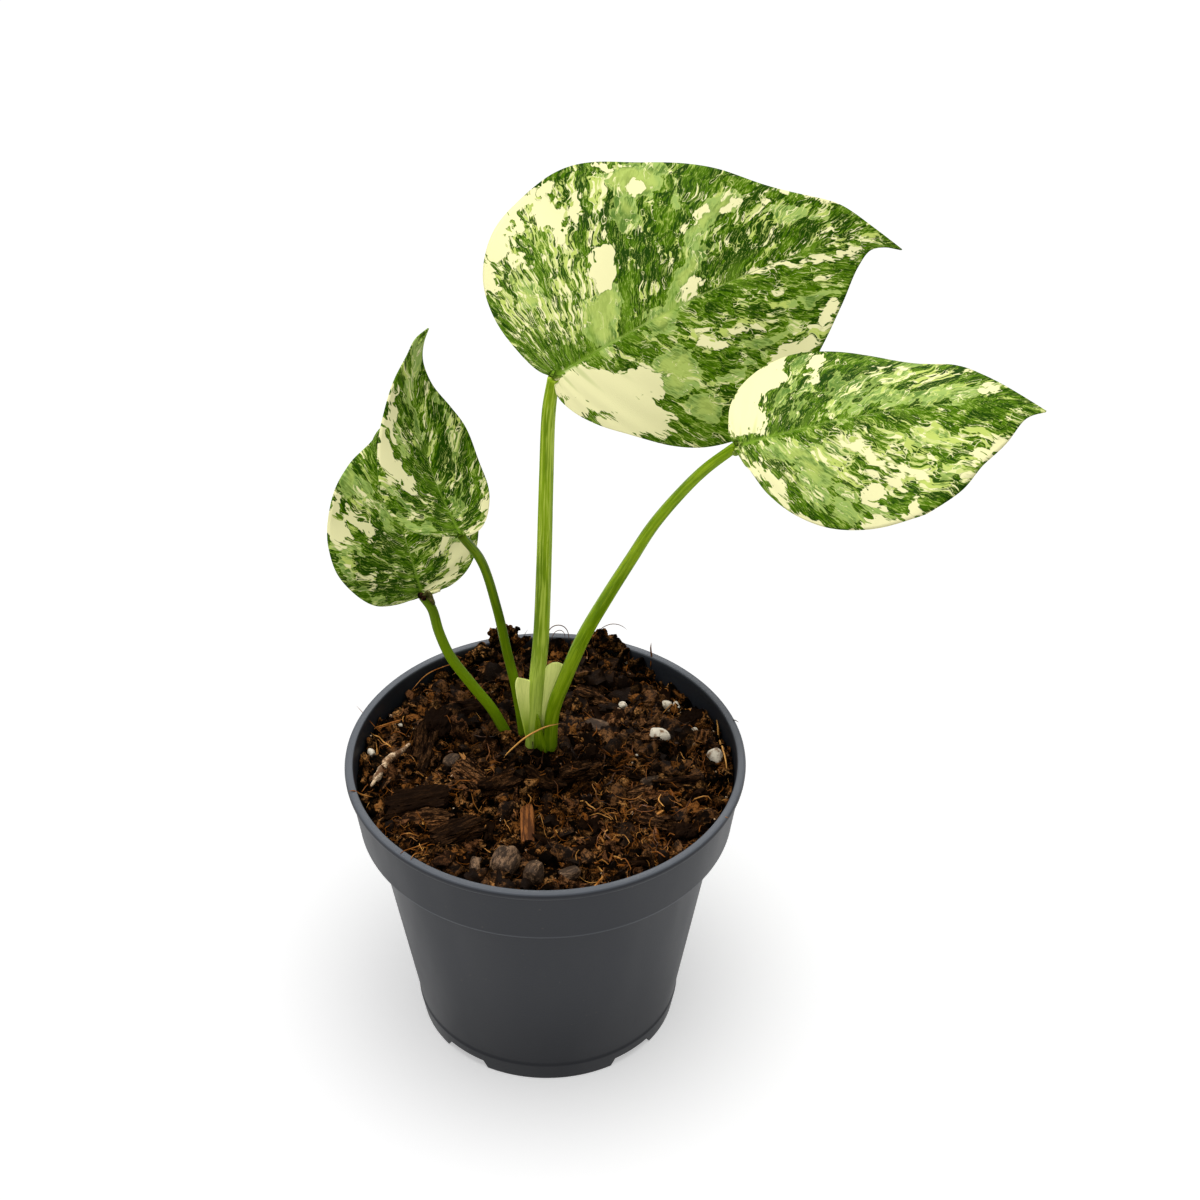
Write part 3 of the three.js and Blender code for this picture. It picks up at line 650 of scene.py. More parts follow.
@dataclass(frozen=True)
class Earth(Finish):
    """Damp crumbly or woody matter, shaded piece by piece by its tint."""

    specular: float = 0.015
    dark: Colour = (0.0015, 0.0007, 0.0002)
    light: Colour = (0.15, 0.055, 0.012)
    warm: Colour = (0.42, 0.2, 0.065)
    scale: float = 320
    stretch: Triple = (1, 1, 1)
    relief: float = 0.5
    grained: bool = False

    def build(self) -> Material:
        """Makes the material.

        Returns:
            The material.
        """
        material, net = self.start()
        place = net.attribute("local", vector=True) if self.grained else net.object_place()
        place = net.stretch(place, *self.stretch)
        shade = net.ramp(net.attribute("tint"), 0.05, 1, 0.02, 4)
        inputs = {"Vector": place, "Scale": self.scale, "Shade": shade, "Dark": self.dark,
                  "Light": self.light, "Warm": self.warm}
        earth = net.group("earth", inputs)
        damp = net.math("MULTIPLY_ADD", earth.outputs["Damp"], -0.4, self.roughness)
        self.close(net, earth.outputs["Color"], damp, net.bump(earth.outputs["Height"], self.relief))
        return material


@dataclass(frozen=True)
class Coir(Finish):
    """Glossy husk fibre, from nearly black to tan by its tint."""

    name: str = "coir"
    roughness: float = 0.4
    specular: float = 0.12
    dark: Colour = (0.012, 0.0045, 0.0012)
    middle: Colour = (0.21, 0.065, 0.007)
    light: Colour = (0.72, 0.36, 0.09)

    def build(self) -> Material:
        """Makes the material.

        Returns:
            The material.
        """
        material, net = self.start()
        tint = net.attribute("tint")
        stains = net.noise(net.object_place(), 420, 3, 0.6)
        tint = net.math("MULTIPLY_ADD", net.minus(stains, 0.5), 0.8, tint)
        colour = net.mix(net.ramp(tint, 0, 0.5), self.dark, self.middle)
        colour = net.mix(net.ramp(tint, 0.45, 1), colour, self.light)
        self.close(net, colour, self.roughness, net.bump(stains, 0.08))
        return material


@dataclass(frozen=True)
class LeafSkin(Finish):
    """A leaf's waxy skin with its markings, on its upper or its paler under face."""

    name: str = "leaf_upper"
    roughness: float = 0.42
    specular: float = 0.02
    deep_green: Colour = (0.0115, 0.044, 0.0001)
    green: Colour = (0.07, 0.16, 0.0015)
    dark_grey: Colour = (0.085, 0.17, 0.024)
    grey_green: Colour = (0.28, 0.4, 0.095)
    pale_green: Colour = (0.45, 0.54, 0.12)
    cream: Colour = (0.76, 0.73, 0.39)
    rib: Colour = (0.17, 0.3, 0.02)

    def build(self) -> Material:
        """Makes the material.

        Returns:
            The material.
        """
        material, net = self.start()
        vein = net.attribute("vein", vector=True)
        flat = net.attribute("flat", vector=True)
        inputs = {"Vein": vein, "Flat": flat, "Deep Green": self.deep_green, "Green": self.green,
                  "Dark Grey": self.dark_grey, "Grey Green": self.grey_green, "Pale Green": self.pale_green,
                  "Cream Colour": self.cream}
        for label in ("Cream", "Grey", "Deep", "Fleck"):
            inputs[label] = net.attribute(label.lower())
        marks = net.group("variegation", inputs)
        colour = marks.outputs["Color"]
        side = net.ramp(net.attribute("side_vein"), 0.72, 1, 0, 0.3)
        colour = net.mix(side, colour, self.rib)
        near_rib = net.ramp(net.attribute("rib"), 0.25, 1, 0, 0.8)
        colour = net.mix(near_rib, colour, self.rib)
        cells = net.noise(flat, 3.4, 3, 0.6)
        rough_value = net.ramp(cells, 0.3, 0.7, self.roughness - 0.05, self.roughness + 0.08)
        self.close(net, colour, rough_value, net.bump(cells, 0.07))
        return material


@dataclass(frozen=True)
class StalkSkin(Finish):
    """A stalk's fresh skin with pale lines along it."""

    name: str = "stalk_skin"
    roughness: float = 0.4
    specular: float = 0.06
    deep: Colour = (0.1, 0.185, 0.001)
    fresh: Colour = (0.17, 0.28, 0.003)
    pale: Colour = (0.33, 0.45, 0.02)
    foot: Colour = (0.07, 0.14, 0.002)
    blanched: Colour = (0.56, 0.7, 0.13)
    blanching: float = 0
    paleness: float = 0.4

    def build(self) -> Material:
        """Makes the material.

        Returns:
            The material.
        """
        material, net = self.start()
        skin = net.attribute("skin", vector=True)
        inputs = {"Vector": net.stretch(skin, 1.3, 0.045), "Scale": 0.9, "Warp": 0.5}
        lines = net.group("streaks", inputs).outputs["Value"]
        blush = net.noise(net.stretch(skin, 0.25, 0.05), 1, 3, 0.6)
        colour = net.mix(net.ramp(blush, 0.35, 0.62), self.deep, self.fresh)
        colour = net.mix(net.ramp(lines, 0.48, 0.6, 0, self.paleness), colour, self.pale)
        height = net.node("SeparateXYZ", {0: skin}).outputs[1]
        colour = net.mix(net.ramp(height, 75, 12, 0, self.blanching), colour, self.blanched)
        low = net.attribute("foot")
        colour = net.mix(net.times(low, 0.75), colour, self.foot)
        dots = net.ramp(net.noise(net.stretch(skin, 1, 0.5), 0.9, 1), 0.76, 0.8, 0, 0.5)
        colour = net.mix(dots, colour, self.deep)
        ridges = net.noise(net.stretch(skin, 2.4, 0.05), 1, 3, 0.6)
        self.close(net, colour, self.roughness, net.bump(ridges, 0.12))
        return material


@dataclass(frozen=True)
class SheathSkin(Finish):
    """The thin pale wings at a stalk's foot, greener in their veins."""

    name: str = "sheath_skin"
    roughness: float = 0.42
    specular: float = 0.06
    pale: Colour = (0.9, 0.96, 0.3)
    green: Colour = (0.33, 0.48, 0.03)

    def build(self) -> Material:
        """Makes the material.

        Returns:
            The material.
        """
        material, net = self.start()
        skin = net.attribute("skin", vector=True)
        inputs = {"Vector": net.stretch(skin, 1.6, 0.12), "Scale": 0.9, "Warp": 0.5}
        lines = net.group("streaks", inputs).outputs["Value"]
        colour = net.mix(net.ramp(lines, 0.45, 0.72, 0, 0.3), self.pale, self.green)
        colour = net.mix(net.attribute("foot"), colour, self.green)
        self.close(net, colour, self.roughness, net.bump(lines, 0.1))
        return material


@dataclass(frozen=True)
class Perlite(Finish):
    """Off-white puffed grains with pores and soil in them."""

    name: str = "perlite"
    roughness: float = 0.85
    white: Colour = (0.66, 0.59, 0.47)
    stain: Colour = (0.2, 0.11, 0.05)

    def build(self) -> Material:
        """Makes the material.

        Returns:
            The material.
        """
        material, net = self.start()
        place = net.object_place()
        pores = net.noise(place, 1500, 3, 0.6)
        stains = net.ramp(net.noise(place, 420, 3, 0.6), 0.48, 0.68)
        colour = net.mix(stains, self.white, self.stain)
        colour = net.mix(net.ramp(pores, 0.6, 0.75), colour, self.stain)
        self.close(net, colour, self.roughness, net.bump(pores, 0.4))
        return material


def build_finishes() -> Materials:
    """Builds the shared effects and then each material.

    Returns:
        The materials by name.
    """
    build_streaks()
    build_earth()
    build_variegation()
    finishes = (
        PotPlastic(), Coir(), Perlite(), LeafSkin(), StalkSkin(), SheathSkin(),
        LeafSkin("leaf_under", roughness=0.6, deep_green=(0.05, 0.13, 0.01), green=(0.12, 0.24, 0.03),
                 dark_grey=(0.18, 0.28, 0.08), grey_green=(0.25, 0.36, 0.12), pale_green=(0.48, 0.58, 0.24),
                 cream=(0.8, 0.8, 0.5), rib=(0.3, 0.44, 0.08)),
        StalkSkin("stalk_skin_pale", deep=(0.12, 0.215, 0.0015), fresh=(0.22, 0.34, 0.006),
                  pale=(0.46, 0.58, 0.07), blanching=0.55, paleness=0.75),
        # A copy of the stalk skin for the two left stalks, darkened as painted shade from the leaves above,
        # most towards the top; its blanched colour is the unshaded green near the foot.
        StalkSkin("stalk_skin_dark", deep=(0.045, 0.088, 0.0006), fresh=(0.08, 0.15, 0.001),
                  pale=(0.17, 0.25, 0.006), blanched=(0.16, 0.27, 0.003), blanching=0.9),
        Earth("soil", roughness=0.85), Earth("crumbs", roughness=0.8),
        Earth("chips", roughness=0.7, dark=(0.008, 0.0035, 0.0015), light=(0.13, 0.052, 0.019),
              warm=(0.22, 0.1, 0.04), scale=450),
        Earth("bark_lump", roughness=0.6, specular=0.05, dark=(0.006, 0.0026, 0.001),
              light=(0.11, 0.046, 0.014), warm=(0.2, 0.09, 0.032), scale=300, relief=0.8),
        Earth("bark", roughness=0.7, dark=(0.006, 0.0025, 0.001), light=(0.2, 0.09, 0.034),
              warm=(0.28, 0.11, 0.034), scale=0.9, stretch=(0.22, 1.2, 1.2), grained=True),
        Earth("block", roughness=0.6, specular=0.08, dark=(0.03, 0.018, 0.011), light=(0.14, 0.082, 0.046),
              warm=(0.3, 0.18, 0.1), scale=0.5, stretch=(0.5, 1.2, 1.2), relief=0.2, grained=True),
        Earth("slat", roughness=0.6, specular=0.06, dark=(0.06, 0.02, 0.006), light=(0.22, 0.075, 0.018),
              warm=(0.3, 0.11, 0.03), scale=0.6, stretch=(0.12, 1.3, 1.3), relief=0.2, grained=True),
        Earth("crown", roughness=0.85, dark=(0.004, 0.002, 0.001), light=(0.05, 0.022, 0.009),
              warm=(0.07, 0.028, 0.01), scale=420),
        Earth("dry_root", roughness=0.75, dark=(0.12, 0.06, 0.03), light=(0.62, 0.46, 0.3),
              warm=(0.45, 0.25, 0.12), scale=330, relief=0.3),
        Earth("husk", roughness=0.7, dark=(0.05, 0.05, 0.012), light=(0.2, 0.2, 0.06),
              warm=(0.16, 0.1, 0.04), scale=500, relief=0.2))
    return {finish.name: finish.build() for finish in finishes}


# Pot.

@dataclass
class Pot:
    """The moulded nursery pot, built ring by ring from its foot to its lip and down inside."""

    finish: Material
    sides: int = 192
    rim_radius: float = 60
    height: float = 96.4
    wall: float = 1.1
    collar_z: float = 75.9
    collar_radius: float = 56.3
    body_top_radius: float = 51.9
    body_bottom_radius: float = 40
    foot_radius: float = 39.4
    channel_height: float = 3.6
    pad_radius: float = 22
    drain_radius: float = 4
    drain_circle: float = 30
    drains: int = 8
    notch_angle: float = 40.5
    notch_spread: float = 22
    notch_height: float = 3.2

    def profile(self) -> list[Point]:
        """The pot's section, from the pad round the outside to the floor within.

        Returns:
            The section's points as radius and height, in millimetres.
        """
        rim, top, wall, channel = self.rim_radius, self.height, self.wall, self.channel_height
        body, foot, neck = self.body_bottom_radius, self.foot_radius, self.body_top_radius
        collar, ledge, pad = self.collar_radius, self.collar_z, self.pad_radius
        return [
            (pad, 0), (pad + 1.2, channel), (foot - 2.2, channel), (foot - 1.8, 0.2), (foot - 1.6, 0),
            (foot - 0.3, 0), (foot, 0.25), (foot + 1.1, 6.2), (foot + 1.14, 6.6), (foot + 1.06, 6.9),
            (body + 0.34, 7.2), (body + 0.4, 8), (neck - 0.35, ledge - 3), (neck, ledge - 1.2),
            (neck + 0.5, ledge - 0.7), (collar - 0.5, ledge - 0.12), (collar - 0.1, ledge),
            (collar + 0.06, ledge + 0.25), (collar + 0.1, ledge + 0.7), (rim - 1, top - 2.4),
            (rim - 0.35, top - 2.2), (rim - 0.06, top - 1.8), (rim, top - 1.1), (rim - 0.1, top - 0.5),
            (rim - 0.4, top - 0.12), (rim - 0.85, top), (rim - 1.9, top), (rim - 2.35, top - 0.12),
            (rim - 2.6, top - 0.5), (rim - 2.8, top - 2.4), (collar - wall, ledge + wall),
            (neck - wall, ledge), (body - wall, channel + wall + 1.4), (body - wall - 1.4, channel + wall),
            (pad + 1.6, channel + wall), (pad + 0.4, wall)]

    def shell(self) -> Piece:
        """Draws a circle up, over and down through the section.

        Returns:
            The closed pot without its holes.
        """
        points = self.profile()
        radius, height = points[0]
        deselect()
        bpy.ops.mesh.primitive_circle_add(vertices=self.sides, radius=radius * MM, fill_type="NOTHING")
        pot = bpy.context.object
        pot.name = pot.data.name = "nursery_pot"
        with editing(pot):
            bpy.ops.mesh.select_mode(type="EDGE")
            bpy.ops.mesh.select_all(action="SELECT")
            for next_radius, next_height in points[1:]:
                bpy.ops.mesh.extrude_edges_move(
                    TRANSFORM_OT_translate={"value": (0, 0, (next_height - height) * MM)})
                share = next_radius / radius
                bpy.ops.transform.resize(value=(share, share, 1), center_override=(0, 0, 0))
                radius, height = next_radius, next_height
        close_seams(pot)
        return pot

    def cut(self, pot: Piece, cutter: Piece) -> None:
        """Cuts a closed shape from the pot and removes it."""
        modify(pot, "BOOLEAN", operation="DIFFERENCE", object=cutter, solver="EXACT")
        bpy.data.objects.remove(cutter)

    def notch(self, angle: float) -> Piece:
        """The slanted block that cuts one notch in the foot ring.

        Args:
            angle: Where it lies round the pot, in degrees from the front.

        Returns:
            The block.
        """
        half = self.foot_radius * math.tan(math.radians(self.notch_spread / 2))
        deselect()
        bpy.ops.mesh.primitive_cube_add(size=1)
        block = bpy.context.object
        places = vertices_of(block)
        top = places[:, 2] > 0
        places[:, 0] *= np.where(top, 2 * (half - 0.8), 2 * (half + 0.8))
        places[:, 1] = -self.foot_radius + places[:, 1] * 9
        places[:, 2] = np.where(top, self.notch_height, -1)
        move_vertices(block, places * MM)
        block.data.transform(Matrix.Rotation(math.radians(angle), 4, "Z"))
        return block

    def build(self) -> Piece:
        """Models and dresses the pot.

        Returns:
            The pot.
        """
        pot = self.shell()
        front = self.notch_angle
        for angle in (front, -front, 180 - front, 180 + front):
            self.cut(pot, self.notch(angle))
        for hole in range(self.drains):
            turn = 2 * math.pi * hole / self.drains
            deselect()
            bpy.ops.mesh.primitive_cylinder_add(
                vertices=32, radius=self.drain_radius * MM, depth=8 * MM,
                location=(self.drain_circle * MM * math.cos(turn), self.drain_circle * MM * math.sin(turn),
                          self.channel_height * MM))
            self.cut(pot, bpy.context.object)
        return finish_piece(pot, [self.finish], ["pot"], smooth_angle=32)


# Soil.

def roughen(piece: Piece, number: int, strength: float) -> None:
    """Pushes a small piece's vertices in and out.

    Args:
        piece: The piece, a unit long and centred on the origin.
        number: Seeds the roughness.
        strength: How far they move, as a share of their distance from the middle.
    """
    places = vertices_of(piece)
    for row, place in enumerate(places):
        shift = Vector(place) * 2.1 + Vector((number * 7.3, 1.7, 0))
        places[row] = place * (1 + strength * noise.fractal(shift, 0.8, 2.2, 3))
    move_vertices(piece, places)


def lump(number: int, strength: float = 0.95, levels: int = 1) -> Piece:
    """Models one rough lump, a unit across.

    Args:
        number: Which of its shapes.
        strength: How rough it is.
        levels: How often it is subdivided.

    Returns:
        The lump, centred on the origin.
    """
    deselect()
    bpy.ops.mesh.primitive_ico_sphere_add(subdivisions=2, radius=0.5)
    piece = bpy.context.object
    roughen(piece, number, strength)
    modify(piece, "SUBSURF", levels=levels, render_levels=levels)
    return piece


class Bit(Enum):
    """Kinds of matter on the soil: the cuts across a cube's face, its roundness and its roughness."""

    CRUMB = (1, 0.9, 0.75)
    NUGGET = (2, 0.7, 0.5)
    CHIP = (2, 0.35, 0.6)
    SPLINTER = (2, 0.3, 0.6)
    BARK = (4, 0.35, 0.6)
    BLOCK = (4, 0.6, 0.22)
    SLAT = (4, 0.1, 0.12)
    CURL = (0, 0, 0)


@dataclass(frozen=True)
class Strewing:
    """One kind of matter strewn on the bed, with sizes in millimetres."""

    name: str
    finish: str
    kind: Bit
    count: int
    lengths: Triple
    widths: Point
    heights: Point
    tints: Triple
    tilt: float = 0.3
    lift: float = 0.1
    zones: Rows = ()


@dataclass(frozen=True)
class Strand:
    """One listed fibre: points across and from front to back, or with heights too."""

    points: Rows
    radius: float = 0.2
    tint: float = 0.7
    lift: float = 0.2


@dataclass
class Soil:
    """Damp peat and coir: a crumbly bed with bark, crumbs, fibres and perlite on it.

    Each rise, hollow, painted shade spot, clearing and perlite grain is a place and a reach, and rises and
    hollows have a height too. Each wave is a height, two steepnesses and a phase. Each ring down the side is
    a share of the radius and a height. Bark, blocks and slats are a place, length, width, height, turn and
    tint. Lumps are a place and a size. The dry root's girth is a radius at shares of its length.
    """

    finishes: Materials
    edge_z: float = 90.6
    radius: float = 56.3
    rises: Rows = ((-1, -2, 26, 2.6), (-15, 54, 25, 4.2), (12, 55, 25, 4.2), (54, -2, 22, 1.4))
    hollows: Rows = (
        (6, -7, 8, 4.5), (-19, -36, 7, 4), (37, 6, 7, 3.5), (-30, -29, 6, 3), (-50, 1, 7, 3),
        (-40, 9, 5, 2.5), (24, 38, 8, 3), (-22, 41, 8, 3), (46, -12, 7, 3), (10, -52, 7, 3),
        (-47, -28, 5, 3), (22, 12, 6, 2))
    waves: Rows = (
        (0.32, 0.21, 0.2, 0.9), (0.3, -0.27, 0.24, 2.1), (0.3, 0.47, -0.33, 1.3), (0.3, 0.38, 0.52, 1.6))
    # Spots of painted shade, mostly around the crown's foot and in the hollows.
    shade_spots: Rows = (
        (7, -2, 13), (-3, 1, 9), (-9, 7, 9), (-12, -44, 6), (37, 6, 7), (-20, -38, 6), (18, 38, 12))
    detail: int = 250
    rings: Rows = ((0.98, 78.5), (0.9, 77), (0.687, 6.8), (0.65, 5.3), (0.42, 5.1), (0.385, 1.6))
    seed: int = 7
    patterns: int = 8
    strays: int = 420
    stray_step: float = 1.3
    stray_zones: Rows = ((20, -13, 15, 0.25),)
    stray_radii: Point = (0.07, 0.16)
    stray_lifts: Point = (0.2, 1.4)
    root_line: Rows = ((-52, -7), (-49.6, -1.6), (-46.9, 4.6), (-43.3, 8), (-41, 11.1))
    root_girth: Rows = (
        (0, 0.35), (0.1, 0.6), (0.22, 1.25), (0.36, 1.3), (0.46, 0.95), (0.52, 1.35), (0.68, 1.1),
        (0.85, 0.7), (1, 0.4))
    root_z: float = 92.2
    root_rise: float = 0.8
    clearings: Rows = ((-4.6, 12.4, 9.5), (-12.2, -45, 3), (-3.8, -48, 2.5))
    bark: Rows = (
        (-26, -27.5, 18, 7, 5, 30), (-38, -13, 17, 11, 4, 8), (-37, -21, 14, 7, 3, -4),
        (-16.8, -27, 7, 2.6, 3, 88), (9, -3, 13, 6, 4, 15), (-0.4, -7, 10, 6, 4, -25),
        (14, -22, 10, 6, 3, 60), (31, -23, 12, 6, 3, -30), (-33, 22, 13, 7, 4, 75),
        (-36.5, 10, 15, 7, 6, 78), (45, 24, 9, 7, 4, 40), (24, -1, 13, 5, 3, -15), (39, -6, 15, 4, 3, -12),
        (30, 14, 8, 6, 4, 20), (40, -28, 8, 7, 5, 50), (-20, 28, 11, 6, 4, 20), (14, 34, 12, 6, 4, -20),
        (28, -12, 9, 6, 4, 10), (-51.5, -1, 6, 3, 3, 80), (-14, -9, 9, 6, 5, 30), (-23, -2, 10, 7, 4, -40),
        (12, -34, 8, 5, 3, 30), (48, 14, 7, 5, 4, 80))
    blocks: Rows = (
        (-12.2, -41.5, 9, 7, 7.5, 70, 0.85), (-3.8, -45.6, 6, 5, 5, 70, 0.4),
        (6.5, -47, 5.6, 3.6, 3, 5, 0.35), (-20.5, -40.5, 5.2, 3.2, 4, 85, 0.6),
        (31, -4, 6, 4, 3.4, 30, 0.4), (16, 20, 7, 5, 4, -30, 0.35), (-28, 6, 6, 4.4, 4, 60, 0.4))
    slats: Rows = ((-5.4, -24, 15, 4, 2.8, 91, 0.95), (27, 8, 9, 3, 2, -35, 0.6))
    lumps: Rows = (
        (-6.8, 5.4, 92.7, 3.4), (-4, 4.2, 92.5, 3.4), (-1.4, 4, 92.6, 3), (1.2, 4.4, 92.6, 3.4),
        (3.6, 5.8, 92.6, 3.2), (-5.4, 11.6, 94, 3.2), (-8, 11.4, 93.4, 3.2), (-11.8, 12.8, 93.6, 4.2),
        (-14, 14.2, 93.2, 3.2), (-9.6, 13.2, 93.6, 3), (-13, 53.6, 96.6, 5.6), (-9.2, 53.8, 97, 5),
        (-15.2, 54, 98.8, 4), (-12.2, 54, 99.6, 5), (-9.2, 54.2, 99.8, 4), (-15.6, 54.2, 101, 2.8),
        (-13.4, 54.2, 102, 3.2), (-11.2, 54.2, 102.4, 3.2), (-9, 54.2, 101.8, 2.6),
        (-16.4, 54.3, 102, 1.6), (-12.4, 54.2, 103.6, 1.8), (-8, 54.2, 102.6, 1.6), (-6.2, 54, 98, 3.4),
        (18, 53, 97.4, 7), (16.6, 53.6, 99.8, 3.8), (18.6, 53.4, 100.2, 3.8), (20.8, 52.8, 98.2, 5),
        (17.2, 53.6, 101.2, 2), (22.8, 52, 96.4, 4.6), (15, 54, 95.6, 4), (-19.4, 52.8, 94.6, 5.4),
        (4.8, 53.6, 95, 6), (24.8, 50.4, 94.6, 5.2), (28.5, 46.9, 93.4, 4.6), (-26, 48.6, 93.2, 5),
        (-2, 53.8, 95.4, 4.6), (10.5, 53.6, 95, 5), (-23, 50, 94.4, 4.2), (-31, 44, 92, 4.4),
        (33, 43, 92, 4.4))
    perlite: Rows = (
        (34.2, 15.5, 2.7), (38.8, 16.8, 1.4), (51.2, 5, 2.8), (37.5, 30, 1.35), (40.4, 30, 1.25),
        (24.1, 30.2, 1.4), (22.6, 27, 0.9), (51, 12, 1.1), (45.6, 18, 0.9), (44.2, 15.8, 0.8),
        (19.2, 53, 1.1), (25.5, 50.5, 0.9), (-18.4, 53, 0.8), (-52.6, 11, 1.3), (27.6, 7, 0.5),
        (-20, 34, 0.5), (-36, 27, 0.5), (-44, 22, 0.6))
    strewings: tuple[Strewing, ...] = (
        Strewing("crumbs", "crumbs", Bit.CRUMB, 2150, (0.7, 5, 1.3), (0.6, 1), (0.5, 0.9), (0, 1, 0.2)),
        Strewing("bark_chips", "chips", Bit.CHIP, 200, (2.6, 9, 4), (0.35, 0.75), (0.2, 0.45), (0, 1, 0.3),
            0.5, 0.15),
        Strewing("splinters", "coir", Bit.SPLINTER, 230, (2.5, 8, 4), (0.07, 0.16), (0.06, 0.12),
            (0.05, 0.8, 0.25), 0.4, 0.3, ((24, -34, 14, 0.3), (30, -14, 14, 0.2))),
        Strewing("nuggets", "bark_lump", Bit.NUGGET, 260, (2.4, 8, 3.4), (0.5, 1), (0.4, 0.8), (0, 1, 0.25),
            0.5, 0.4, ((20, 26, 16, 0.25), (-20, 34, 14, 0.2), (-16, -44, 8, 0.08))),
        Strewing("coir_curls", "coir", Bit.CURL, 1500, (2.5, 12, 4.5), (0.8, 1.2), (0.8, 1.4),
            (0, 0.85, 0.1), 0.5, 0.4, ((20, -13, 14, 0.22), (28, -34, 12, 0.12), (-42, -22, 8, 0.06),
            (-10, 0, 8, 0.05))),
        # Pale specks strewn as painted glints on the soil.
        Strewing("pale_specks", "dry_root", Bit.CRUMB, 300, (0.3, 0.85, 0.4), (0.7, 1), (0.7, 1),
            (0.3, 1, 0.7), 0.3, 0.5))
    strands: tuple[Strand, ...] = (
        Strand(((-57.6, 25.4, 96.8), (-55, 22.6, 95.4), (-51.8, 19.6, 93), (-49, 17, 91.6)), 0.13, 0.35),
        Strand(((-53.5, 20.3), (-50.8, 18), (-47.8, 14.8), (-43.9, 8.9)), 0.24, 0.75, 0.8),
        Strand(((-53, 19), (-49.8, 16.2), (-46.4, 12.4), (-42.6, 8)), 0.16, 0.55, 0.6),
        Strand(((-52.9, 11.8), (-52.1, 7.8), (-52.3, -0.1), (-54.6, -5.2), (-55, -8.7)), 0.26, 0.4, 0.6),
        Strand(((-48.4, 5.1), (-47.9, 8.1), (-45, 8.7)), 0.2, 0.5, 0.8),
        Strand(((-29.7, -13.5), (-29.4, -18), (-29, -24.1)), 0.28, 0.8, 0.9),
        Strand(((-45.7, -19.9), (-39.5, -17.1), (-37.9, -13.3), (-36, -14.6)), 0.26, 0.85, 1.2),
        Strand(((-47, -24), (-43.5, -20.8), (-40.5, -23), (-42, -26), (-46, -26.6)), 0.22, 0.7, 0.8),
        Strand(((-51, -27.5), (-46.5, -26), (-42, -22.4), (-38.6, -21)), 0.22, 0.65, 0.8),
        Strand(((4.7, -36.3), (8.8, -39.5), (12.6, -41.3), (19.9, -44.9)), 0.34, 0.8, 0.6),
        Strand(((12.6, -41.3), (13.2, -38.6), (14.3, -37.6)), 0.26, 0.75, 0.6),
        Strand(((1.9, -43.2), (7, -43.4), (8.2, -40.7)), 0.28, 0.6, 0.5),
        Strand(((11.5, -28.3), (15, -25.5), (19, -23.7), (23, -23.6), (23.4, -25)), 0.26, 1, 0.9),
        Strand(((6.7, -11.3), (9.2, -14.1), (13.4, -16.9), (15.5, -18.7)), 0.26, 0.8, 1.4),
        Strand(((13.4, -16.9), (11.5, -19.5), (10.4, -22.5)), 0.2, 0.7, 0.9),
        Strand(((17.1, -38.3), (22.2, -38.9), (19.7, -44.1)), 0.22, 0.95, 0.7),
        Strand(((21, -25.6), (24, -29.4), (27.6, -33.7)), 0.3, 0.35, 0.4),
        Strand(((22, -25), (25.2, -28.8), (28.8, -33)), 0.28, 0.25, 0.4),
        Strand(((20.4, -26.8), (23, -30.6), (26, -34.4)), 0.26, 0.3, 0.4),
        Strand(((26, -41), (31, -39), (34.5, -36.4), (39, -38)), 0.24, 0.75, 0.7),
        Strand(((30.5, -45), (33, -41.5), (38, -39.4)), 0.2, 0.8, 0.7),
        Strand(((52.6, 27.5), (52.6, 20), (52.9, 12.4), (53.5, 6), (54.8, -5.6)), 0.3, 0.85, 1.3),
        Strand(((41.9, 34.4), (42.9, 32.2), (45.7, 23.9), (45.5, 20.1)), 0.26, 0.6, 1),
        Strand(((34.7, 10.7), (32.6, 7.4), (30.5, 3.9)), 0.26, 0.95, 1),
        Strand(((37.8, 10.4), (43.4, 3.1), (46.8, 2.2)), 0.26, 0.7, 0.9),
        Strand(((43.8, -18.2), (47.7, -16.7), (54, -14.3)), 0.28, 0.85, 0.8),
        Strand(((36, -16), (40.5, -17), (45.5, -20.6), (50, -20)), 0.22, 0.6, 0.6),
        Strand(((-12.9, 4.3, 91.4), (-12.3, 4.4, 93.1), (-11.5, 4.4, 94.3), (-9.3, 4.4, 97),
            (-6, 4.4, 100.5), (-2.4, 4.4, 103.2), (0.9, 4.3, 105.1), (3.3, 4.4, 105.6), (4.8, 5.4, 105.2)),
            0.3, 0.9),
        Strand(((6.5, 26.4), (12.3, 24.4), (19.9, 20.4)), 0.3, 0.55, 0.8),
        Strand(((-14.6, 30.4), (-12.8, 35.4), (-12.2, 40.7)), 0.26, 0.45, 0.9),
        Strand(((-30, -42), (-24.8, -41), (-19.4, -43.6), (-16, -42)), 0.26, 0.6, 0.6),
        Strand(((-58.4, -14.2, 96.7), (-56.8, -14, 96.9), (-54.8, -13.4, 94.6), (-51, -12.4, 92.6)), 0.28,
            0.6),
        Strand(((-42.6, -42, 96.7), (-41.4, -40.4, 96.4), (-38.4, -37, 94.6), (-34, -34, 94)), 0.22, 0.5),
        Strand(((-39.4, -44.6, 96.6), (-38.4, -42.4, 96.8), (-36, -39.2, 94.4)), 0.2, 0.6),
        Strand(((-26.2, 49.8, 93), (-30.5, 45.8, 94.8), (-36.4, 41.4, 95), (-41.4, 36, 92.6)), 0.16, 0.55),
        Strand(((1, 55.4, 95.5), (1.2, 56.6, 98.2), (2.4, 57, 100.6), (4.5, 57, 101.6), (6.4, 57, 100.9),
            (7.6, 56.8, 98.9), (8, 55.6, 95.6)), 0.17, 0.25),
        Strand(((2.2, 55.6, 95.5), (3, 56.4, 98.4), (4.6, 56.8, 99.8), (6.2, 56.6, 99.4), (6.8, 55.4, 96)),
            0.12, 0.3),
        Strand(((15.2, 55, 96.5), (17.8, 56.8, 99.9), (21.3, 57, 101.7), (24.2, 57, 101), (26.4, 57, 98.9)),
            0.14, 0.2),
